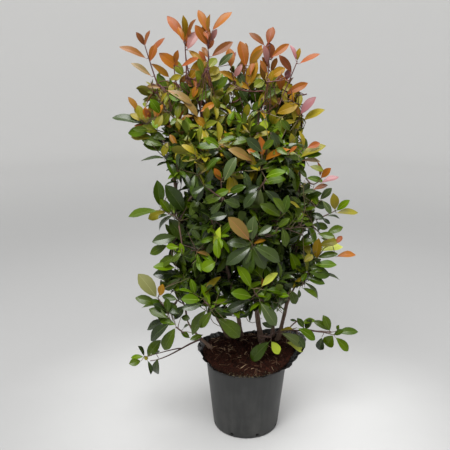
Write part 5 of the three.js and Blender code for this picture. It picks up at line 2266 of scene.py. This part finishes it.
@dataclass
class Crown:
    """The foliage: twigs by the solids' rule, then finer twigs, each with its leaves."""

    territory: Territory
    limbs: Limbs
    root_ball: RootBall
    palette: Palette
    lowest_corner: Array
    highest_corner: Array
    first_seed: int = 500
    seed_step: int = 17
    nearest: float = 0.75
    middle: Pair = (-20.0, 20.0)
    apex_out: float = 0.42
    apex_up: float = 0.66
    apex_lean: float = 0.4
    droop: float = 0.18
    upturn: float = 0.35
    levels: Pair = (-0.8, 0.7)
    forks: Pair = (0.18, 0.8)
    leader_forks: Pair = (0.35, 0.65)
    margin: float = 30.0
    body_share: float = 0.86
    stem_body_share: float = 0.9
    stem_shortest: float = 0.2
    stem_shorten: float = 0.05
    shorten: float = 0.12
    stem_steps: int = 3
    young_from: float = 1195.0
    own_radius: float = 3.8
    own_leaves: int = 7
    own_first_leaf: float = 0.45
    own_fine: int = 3
    twig_radius: float = 2.6
    twig_sides: int = 6
    twig_steps: int = 9
    twig_leaf_step: float = 14.0
    twig_least_leaves: int = 6
    bare_twig_leaves: int = 3
    young_first_leaf: float = 0.42
    first_leaf: float = 0.22
    shoot_taper: float = 0.4
    # Painted shade: how deep inside the body, and how low, a fine twig's leaves are dealt the dark tint.
    painted_shade_share: float = 0.34
    shade_below: float = 1060.0
    band_blur: float = 70.0
    pot_room: float = 55.0
    ground_room: float = 8.0
    joint_from: float = 0.2
    joint_samples: int = 25
    fine: FineTwigs = FineTwigs()
    side: SideShoots = SideShoots()
    leaf: LeafHabit = LeafHabit()
    drawn: DrawnLeaves = DrawnLeaves()
    leaf_shape: LeafShape = field(default_factory=LeafShape)
    body: Body = field(default_factory=Body)

    def own_stem(self, name: str, mass: Mass) -> Path3:
        """A mass's own stem: on from a limb's tip, or out of a stem's side, to the mass's apex.

        Args:
            name: The mass's name.
            mass: Its sizes.

        Returns:
            The stem's middle line.
        """
        heart = vec(*mass.heart)
        outward = unit(vec(*(heart[:2] - self.middle), 0))
        stem = self.limbs.stems[mass.stem]
        if mass.bare:
            start = stem.at(stem.at_height(mass.bare))
            return Path3.between(start, unit(heart - start), vec(*mass.tips[0]), outward)
        carrier = self.limbs.boughs.get(name, stem)
        leaving = carrier.tangent(1.0)
        start = carrier.at(1.0) - leaving * self.own_radius
        apex = heart + outward * self.apex_out * mass.reach + UP * self.apex_up * mass.reach
        return Path3.between(start, leaving, apex, unit(outward * self.apex_lean + UP))

    def twigs(self, name: str, mass: Mass, own: Path3, draw: Stream) -> list[tuple[Path3, bool]]:
        """The twigs of a mass, as in the solids.

        Args:
            name: The mass's name.
            mass: Its sizes.
            own: Its own stem.
            draw: Its stream of chance.

        Returns:
            The path of each twig, and whether it stands out.
        """
        heart = vec(*mass.heart)
        turn = draw() * FULL_TURN
        made = []
        for number in range(mass.twigs):
            share = (number + 0.5) / mass.twigs
            level = lerp(*self.levels, share)
            way = around(turn + number * GOLDEN_ANGLE, math.sqrt(1 - level * level), level)
            tip = heart + way * mass.reach * lerp(self.nearest, 1, draw())
            while np.linalg.norm(tip - heart) > self.margin and (
                self.territory.inside(name, tip) < self.margin
                or (not mass.bare and self.body.share(tip) > self.body_share)
            ):
                tip = lerp(tip, heart, self.shorten)
            start = own.faceted(lerp(*self.forks, share), self.stem_steps)
            made.append((self._arched(start, tip), False))
        for tip in mass.tips[1:] if mass.bare else mass.tips:
            start = own.faceted(lerp(*self.leader_forks, draw()), self.stem_steps)
            made.append((self._arched(start, vec(*tip)), True))
        return made

    def _arched(self, start: Array, tip: Array) -> Path3:
        """A twig between two places that turns a little up towards its tip."""
        way = unit(tip - start)
        return Path3.between(start, unit(way - UP * self.droop), tip, unit(way + UP * self.upturn))

    def fine_twigs(self, name: str, mass: Mass, parent: Shoot, count: int, draw: Stream) -> list[Shoot]:
        """The finer twigs of a shoot, kept inside the mass's own space and reach.

        Args:
            name: The mass's name.
            mass: Its sizes.
            parent: The shoot that they grow from.
            count: How many are tried.
            draw: The mass's stream of chance.

        Returns:
            Those that have room.
        """
        fine, habit = self.fine, parent.habit
        heart = vec(*mass.heart)
        turn = draw() * FULL_TURN
        made = []
        for number in range(count):
            share = lerp(*fine.along, (number + draw()) / count)
            start, way = parent.path.at(share), parent.path.tangent(share)
            side = turned_from_up(around(turn + number * GOLDEN_ANGLE, 1.0, 0.0), way)
            opening = math.radians(draw.between(*habit.forks))
            along = unit(way * math.cos(opening) + side * math.sin(opening) + UP * habit.lift)
            length = draw.between(*fine.lengths)
            for _ in range(fine.tries):
                tip = start + along * length
                near = parent.stands_out or np.linalg.norm(tip - heart) < mass.reach * fine.reach
                roomy = near and self.territory.inside(name, tip) > fine.inside
                if roomy and self._clear(tip, fine.room, parent.stands_out):
                    break
                length *= fine.shorten
            if length < fine.shortest:
                continue
            path = Path3.between(start, along, tip, unit(along + UP * draw.between(0.0, 0.5)))
            extra = fine.extra_in_light if tip[2] > self.shade_below else fine.extra_in_shade
            tint = self.pick_tint(tip, draw)
            # Painted shade: a fine twig deep inside the body and below shade_below gets dark leaves.
            if self.body.share(tip) < self.painted_shade_share and tip[2] < self.shade_below:
                tint = DARK
            made.append(Shoot(
                path, fine.radius, fine.tip_radius, round(length / fine.leaf_step) + extra,
                fine.first_leaf, parent.size * draw.between(*fine.sizes), tint, parent.stands_out,
                tip[2] > self.young_from,
            ))
        return made

    def _clear(self, point: Array, room: float, stands_out: bool) -> bool:
        """Whether there is room for a leaf or twig at a place.

        Args:
            point: The place.
            room: How far inside the solids' box it has to be.
            stands_out: Whether it may be outside the body.

        Returns:
            Whether it is in the box and the body, and off the pot and the root ball.
        """
        if np.any(point < self.lowest_corner + room) or np.any(point > self.highest_corner - room):
            return False
        if not stands_out and self.body.share(point) > 1:
            return False
        within = math.hypot(point[0], point[1]) < self.root_ball.pot.rim + self.pot_room
        return not within or point[2] > self.root_ball.ground(point[0], point[1]) + self.ground_room

    def pick_tint(self, place: Array, draw: Stream) -> Tint:
        """The tint of a spray: green below, turning through olive to bronze, orange and red at the top.

        Args:
            place: Where the spray ends.
            draw: The mass's stream of chance.

        Returns:
            The tint.
        """
        chance = draw()
        height = place[2] + draw.spread(self.band_blur)
        band = next(each for each in BANDS if height > each.above and place[0] > each.right_of)
        for tint, share in band.chances:
            chance -= share
            if chance < 0:
                return tint
        return band.chances[0][0]

    def leaves_on(self, name: str, mass: Mass, shoot: Shoot, draw: Stream) -> list[Leaf]:
        """The leaves of a shoot, wide open below and closing towards its tip.

        Args:
            name: The mass's name.
            mass: Its sizes.
            shoot: The shoot.
            draw: The mass's stream of chance.

        Returns:
            Those that stay in the mass's own reach and clear of the pot.
        """
        leaf, habit = self.leaf, shoot.habit
        heart = vec(*mass.heart)
        limit = mass.reach * leaf.overhang + leaf.allowance
        turn = draw() * FULL_TURN
        made = []
        for number in range(shoot.leaves):
            share = number / max(1, shoot.leaves - 1)
            t = lerp(shoot.first, 0.99, share**leaf.spacing)
            point, way = shoot.path.at(t), shoot.path.tangent(t)
            opening = math.radians(lerp(habit.open_foot, habit.open_tip, share) + draw.spread(leaf.jitter))
            angle = turn + number * GOLDEN_ANGLE + draw.spread(leaf.turn)
            side = turned_from_up(around(angle, 1.0, 0.0), way)
            sag = 0.0 if shoot.young else leaf.sag * (1 - share) + draw.spread(leaf.sag_spread)
            along = unit(way * math.cos(opening) + side * math.sin(opening) - UP * sag)
            sway = unit(vec(draw.spread(1), draw.spread(1), draw.spread(1)))
            upper = way + UP * leaf.upright + sway * habit.sway
            length = shoot.size * draw.between(*leaf.lengths) * (1 - leaf.tip_loss * share**3)
            finish = self.palette.number(self._strayed(shoot.tint, draw), draw())
            grown = Leaf(
                point, along, upper, length, draw.between(*leaf.widths) * habit.narrowing,
                draw.between(*leaf.bends), draw.between(*leaf.folds), draw.spread(leaf.twist), finish,
            )
            tip = grown.tip()
            near = shoot.stands_out or np.linalg.norm(tip - heart) < limit
            own = near and self.territory.inside(name, tip) > -leaf.outside
            if own and self._clear(tip, leaf.room, shoot.stands_out):
                made.append(grown)
        return made

    def _strayed(self, tint: Tint, draw: Stream) -> Tint:
        """A spray's tint, or now and then its neighbour's."""
        return FAMILIES[tint].neighbour if draw() < self.leaf.straying else tint

    def grow(self, name: str, index: int) -> tuple[list[Shoot], list[Leaf]]:
        """Grows one mass.

        Args:
            name: Its name.
            index: Its number, which sets its stream of chance.

        Returns:
            Its shoots and its leaves.
        """
        mass = MASSES[name]
        draw = Stream(self.first_seed + self.seed_step * index)
        own = self.own_stem(name, mass)
        twigs = self.twigs(name, mass, own, draw)
        sprays = [(spray, spray.depth) for spray in SPRAYS if spray.mass == name]
        sprays += [(spray, spray.twin[1]) for spray in SPRAYS if spray.twin and spray.twin[0] == name]
        shares = np.arange(1.0, self.stem_shortest, -self.stem_shorten)
        inner = (share for share in shares if self.body.share(own.at(share)) < self.stem_body_share)
        kept = 1.0 if mass.bare else next(inner, shares[-1])
        count = 0 if mass.bare else self.own_leaves
        main = self._shoot(
            own.first_part(kept), self.own_radius, mass, count, self.own_first_leaf, mass.bare > 0, draw)
        shoots = [main, *self.fine_twigs(name, mass, main, min(mass.fine, self.own_fine), draw)]
        for path, stands_out in twigs:
            if stands_out and sprays:
                continue
            first = self.young_first_leaf if path.at(1.0)[2] > self.young_from else self.first_leaf
            count = max(self.twig_least_leaves, int(path.length() / self.twig_leaf_step))
            if mass.bare:
                count = self.bare_twig_leaves
            twig = self._shoot(path, self.twig_radius, mass, count, first, stands_out, draw)
            shoots += [twig, *self.fine_twigs(name, mass, twig, mass.fine, draw)]
        leaves = [leaf for shoot in shoots for leaf in self.leaves_on(name, mass, shoot, draw)]
        for spray, depth in sprays:
            drawn, blades = self.drawn_spray(spray, depth, shoots, depth == spray.depth, draw)
            shoots += drawn
            leaves += blades
        return shoots, leaves

    def drawn_spray(
        self, spray: Spray, depth: float, shoots: list[Shoot], in_sight: bool, draw: Stream,
    ) -> tuple[list[Shoot], list[Leaf]]:
        """A shoot that is drawn leaf by leaf.

        Args:
            spray: Where its foot, tip and leaves show.
            depth: Its y.
            shoots: The shoots that its mass has so far.
            in_sight: Whether its leaves are kept in sight from the front.
            draw: The mass's stream of chance.

        Returns:
            The shoot with the leaves' own stalks, and its leaves.
        """
        rule = self.drawn
        foot, tip = VIEW.place(*spray.foot, depth), VIEW.place(*spray.tip, depth)
        start = self._nearest(shoots, foot)
        path = Path3(np.array([start, lerp(start, foot, rule.foot_share), lerp(foot, tip, 0.5), tip]))
        young = tip[2] > self.young_from
        shoots = [Shoot(path, spray.radius, spray.radius * rule.tip_taper, 0, 1.0, 0.0, BRONZE, True, young)]
        leaves = []
        for blade in spray.blades():
            own_depth = depth + draw.spread(rule.stray_depth)
            base = VIEW.place(*blade.base, own_depth)
            end = VIEW.place(*blade.tip, own_depth + draw.spread(rule.stray_depth))
            joint = self._nearest(shoots[:1], base)
            if np.linalg.norm(joint - base) > rule.joined:
                stalk = Path3.between(joint, unit(tip - joint + UP), base, unit(base - joint))
                shoots.append(Shoot(
                    stalk, self.fine.radius, rule.stalk_tip, 0, 1.0, 0.0, blade.tint, True, young))
            shown = blade.width * rule.fullness
            real = max(shown, rule.young_width if young else rule.mature_width)
            faced = min(rule.most_faced, shown / real)
            front = VIEW.towards(base)
            edge_up = np.cross(unit(end - base), front)
            edge_up = edge_up if edge_up[2] > 0 else -edge_up
            upper = edge_up * math.sqrt(1 - faced * faced) + front * faced
            finish = self.palette.number(blade.tint, draw())
            bend = draw.between(*rule.bends)
            leaves.append(Leaf.reaching(base, end, upper, real, bend, finish, shown if in_sight else 0.0))
        return shoots, leaves

    def uncovered(self, leaves: list[Leaf], drawn: list[Leaf]) -> list[Leaf]:
        """The leaves that don't hide a drawn leaf in the front view.

        Args:
            leaves: A mass's leaves.
            drawn: Every drawn leaf that is kept in sight.

        Returns:
            The leaves that stay.
        """
        rule = self.drawn
        samples = vec(*rule.samples)[:, None]
        places, ahead = VIEW.seen(np.array([lerp(leaf.base, leaf.tip(), samples) for leaf in leaves]))
        breadth = rule.overlap * np.array([leaf.width * leaf.length for leaf in leaves])[:, None, None]
        foot, far = VIEW.seen(np.array([leaf.base for leaf in drawn]))
        tip, _ = VIEW.seen(np.array([leaf.tip() for leaf in drawn]))
        way = tip - foot
        length = np.linalg.norm(way, axis=-1)
        offset = places[:, :, None] - foot
        share = (offset * way).sum(-1) / length**2
        aside = np.abs(offset[..., 0] * way[:, 1] - offset[..., 1] * way[:, 0]) / length
        reach = np.array([leaf.shown for leaf in drawn]) * length / 2 + rule.cleared
        beside = (share > 0.0) & (share < 1.0) & (aside < reach + breadth)
        hiding = (beside & (ahead[..., None] < far - rule.joined)).any(axis=(1, 2))
        return [leaf for leaf, hides in zip(leaves, hiding) if leaf.shown or not hides]

    def _shoot(
        self, path: Path3, radius: float, mass: Mass, leaves: int, first: float, stands_out: bool,
        draw: Stream,
    ) -> Shoot:
        """A main shoot of a mass, with its tint and age by its height.

        Args:
            path: Its middle line.
            radius: Its radius at the foot.
            mass: The mass's sizes.
            leaves: How many leaves it has.
            first: How far along it the first leaf is.
            stands_out: Whether it may leave the body.
            draw: The mass's stream of chance.

        Returns:
            The shoot.
        """
        end = path.at(1.0)
        tint = self.pick_tint(end, draw)
        young = end[2] > self.young_from
        tip = radius * self.shoot_taper
        return Shoot(path, radius, tip, leaves, first, mass.leaf, tint, stands_out, young)

    def _nearest(self, shoots: list[Shoot], point: Array) -> Array:
        """The place on some shoots that is nearest to a point.

        Args:
            shoots: The shoots.
            point: The point.

        Returns:
            The place.
        """
        shares = np.linspace(self.joint_from, 1.0, self.joint_samples)
        places = np.concatenate([shoot.path.at(shares) for shoot in shoots])
        return places[int(np.linalg.norm(places - point, axis=1).argmin())]

    def side_shoots(self) -> list[tuple[str, Shoot, list[Leaf]]]:
        """The short leafy shoots that fill the crown's inside, straight from the stems.

        Returns:
            Each shoot with the mass whose space it is in and its leaves.
        """
        side = self.side
        made = []
        draw = Stream(side.seed)
        for stem in self.limbs.stems.values():
            for height in np.arange(side.lowest, stem.at(1.0)[2] - side.below_tip, side.step):
                start = stem.at(stem.at_height(height + draw.spread(side.blur)))
                across, deep = start[:2] - side.middle
                turn = math.atan2(deep, across) + draw.spread(side.turn)
                way = unit(around(turn, 1.0, draw.between(*side.lifts)))
                tip = start + way * draw.between(*side.lengths)
                name = self.territory.nearest(tip)
                if not self._clear(tip, side.room, False):
                    continue
                path = Path3.between(start, unit(way - UP * side.droop), tip, unit(way + UP * side.upturn))
                # Painted shade: side shoots below shade_below get dark leaves.
                tint = self.pick_tint(tip, draw) if tip[2] > self.shade_below else DARK
                parent = Shoot(
                    path, side.radius, side.tip_radius, side.leaves, side.first_leaf, side.size, tint)
                twigs = self.fine_twigs(name, MASSES[name], parent, side.twigs, draw)
                for shoot in (parent, *twigs):
                    made.append((name, shoot, self.leaves_on(name, MASSES[name], shoot, draw)))
        return made

    def build(self) -> list[bpy.types.Object]:
        """Makes the twigs and leaves of every tier of the crown.

        Returns:
            The pieces; a tier's leaves stand for the solids of its masses.
        """
        wood = {
            Wood.BROWN: SoftFinish("twig_brown", (0.078, 0.038, 0.027), 0.6),
            Wood.RED: SoftFinish("twig_red", (0.092, 0.028, 0.023), 0.45),
            Wood.GREEN: SoftFinish("twig_green", (0.115, 0.085, 0.036), 0.5),
        }
        woods = [wood[kind].material() for kind in Wood]
        made = []
        total = 0
        grown = {name: self.grow(name, index) for index, name in enumerate(MASSES)}
        for name, shoot, leaves in self.side_shoots():
            grown[name][0].append(shoot)
            grown[name][1].extend(leaves)
        drawn = [leaf for _, leaves in grown.values() for leaf in leaves if leaf.shown]
        tiers = {name: name.split("_")[0] for name in MASSES}
        for tier in dict.fromkeys(tiers.values()):
            twigs, blades = Stock(), Stock()
            names = [name for name in MASSES if tiers[name] == tier]
            for name in names:
                shoots, leaves = grown[name]
                leaves = self.uncovered(leaves, drawn)
                total += len(leaves)
                for shoot in shoots:
                    self._add_twig(twigs, shoot)
                self.leaf_shape.add_to(blades, leaves)
            leafy = blades.piece(f"leaves_{tier}", self.palette.materials)
            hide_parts(*(f"foliage_{name}" for name in names))
            "young_leaf" if tier == "top" else "leaf"
            woody = twigs.piece(f"twigs_{tier}", woods)
            made += [leafy, woody]
        LOG.info("%d leaves in all", total)
        return made

    def _add_twig(self, stock: Stock, shoot: Shoot) -> None:
        """Adds a shoot's wood: red where it is young, green where it is fine and in the light, else brown.

        Args:
            stock: Where it goes.
            shoot: The shoot.
        """
        fine = shoot.foot <= self.fine.radius
        kind = Wood.GREEN if fine and shoot.tint is not DARK else Wood.BROWN
        kind = Wood.RED if shoot.young else kind
        sides, steps = (self.fine.sides, self.fine.steps) if fine else (self.twig_sides, self.twig_steps)
        Tube(shoot.path, shoot.foot, shoot.tip, sides, steps).add_to(stock, kind.value)


# ---------------------------------------------------------------- studio


@dataclass
class Studio:
    """The pale floor that sweeps up all round, the soft light and the camera."""

    floor_radius: float = 5.0
    sweep: float = 1.6
    wall_height: float = 5.5
    sides: int = 96
    under: float = 0.0005
    sky: Colour = (1.0, 0.99, 0.97)
    sky_strength: float = 0.65

    def build(self) -> None:
        """Makes the floor, the lights and the camera."""
        rows = [(0.02, 0.0), (self.floor_radius, 0.0)]
        for turn in np.linspace(0.1, 1.0, 10) * math.pi / 2:
            rows.append((self.floor_radius + self.sweep * math.sin(turn), self.sweep * (1 - math.cos(turn))))
        rows.append((self.floor_radius + self.sweep, self.wall_height))
        profile = np.array(rows)
        angles = ring_angles(self.sides)
        points = around(angles[None], profile[:, :1], profile[:, 1:]).reshape(-1, 3)
        points = np.concatenate([points, [[0.0, 0.0, 0.0]]])
        points[:, 2] -= self.under
        faces = grid_faces(len(profile), self.sides, True).tolist()
        faces += lid(0, self.sides, len(points) - 1, True).tolist()
        mesh = bpy.data.meshes.new("floor")
        mesh.from_pydata(points.tolist(), [], faces)
        mesh.materials.append(FloorFinish().material())
        mesh.shade_smooth()
        floor = bpy.data.objects.new("floor", mesh)
        bpy.context.scene.collection.objects.link(floor)
        floor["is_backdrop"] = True
        self._light("key", (-0.8, -2.4, 4.8), (0.0, 0.0, 0.8), 2.8, 310.0)
        self._light("top", (0.4, 0.6, 5.2), (0.0, 0.0, 0.6), 3.0, 250.0)
        scene = bpy.context.scene
        scene.view_settings.view_transform = "Standard"
        world = bpy.data.worlds.new("studio")
        scene.world = world
        world.use_nodes = True
        background = world.node_tree.nodes["Background"]
        background.inputs["Color"].default_value = (*self.sky, 1.0)
        background.inputs["Strength"].default_value = self.sky_strength
        lens = bpy.data.cameras.new("camera")
        lens.lens = VIEW.lens
        lens.sensor_width = VIEW.sensor
        camera = bpy.data.objects.new("camera", lens)
        camera.location = vec(*VIEW.eye) * MM
        camera.rotation_euler = (math.radians(90 - VIEW.pitch_down), 0, 0)
        scene.collection.objects.link(camera)
        scene.camera = camera

    @staticmethod
    def _light(name: str, place: Triple, aim: Triple, size: float, power: float) -> None:
        """Makes one square soft light, which the camera doesn't see.

        Args:
            name: Its name.
            place: Where it is, in metres.
            aim: The place that it shines at.
            size: The length of its sides.
            power: Its power, in watts.
        """
        lamp = bpy.data.lights.new(name, "AREA")
        lamp.size = size
        lamp.energy = power
        light = bpy.data.objects.new(name, lamp)
        light.location = place
        light.rotation_mode = "QUATERNION"
        light.rotation_quaternion = (Vector(aim) - Vector(place)).to_track_quat("-Z", "Y")
        light.visible_camera = False
        bpy.context.scene.collection.objects.link(light)


# ---------------------------------------------------------------- the whole


def main() -> None:
    """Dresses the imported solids, piece by piece."""
    logging.basicConfig(level=logging.INFO, format="%(name)s: %(message)s")
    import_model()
    solid_low, solid_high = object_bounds()
    pot = Pot()
    liner = Liner(pot)
    root_ball = RootBall(pot, liner)
    territory = Territory()
    limbs = Limbs(root_ball, territory)
    limbs.grow()
    Studio().build()
    pot.build()
    liner.build()
    root_ball.build()
    limbs.build()
    corners = (np.array(solid_low) / MM, np.array(solid_high) / MM)
    Crown(territory, limbs, root_ball, Palette(), *corners).build()
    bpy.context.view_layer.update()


if __name__ == "__main__":
    main()
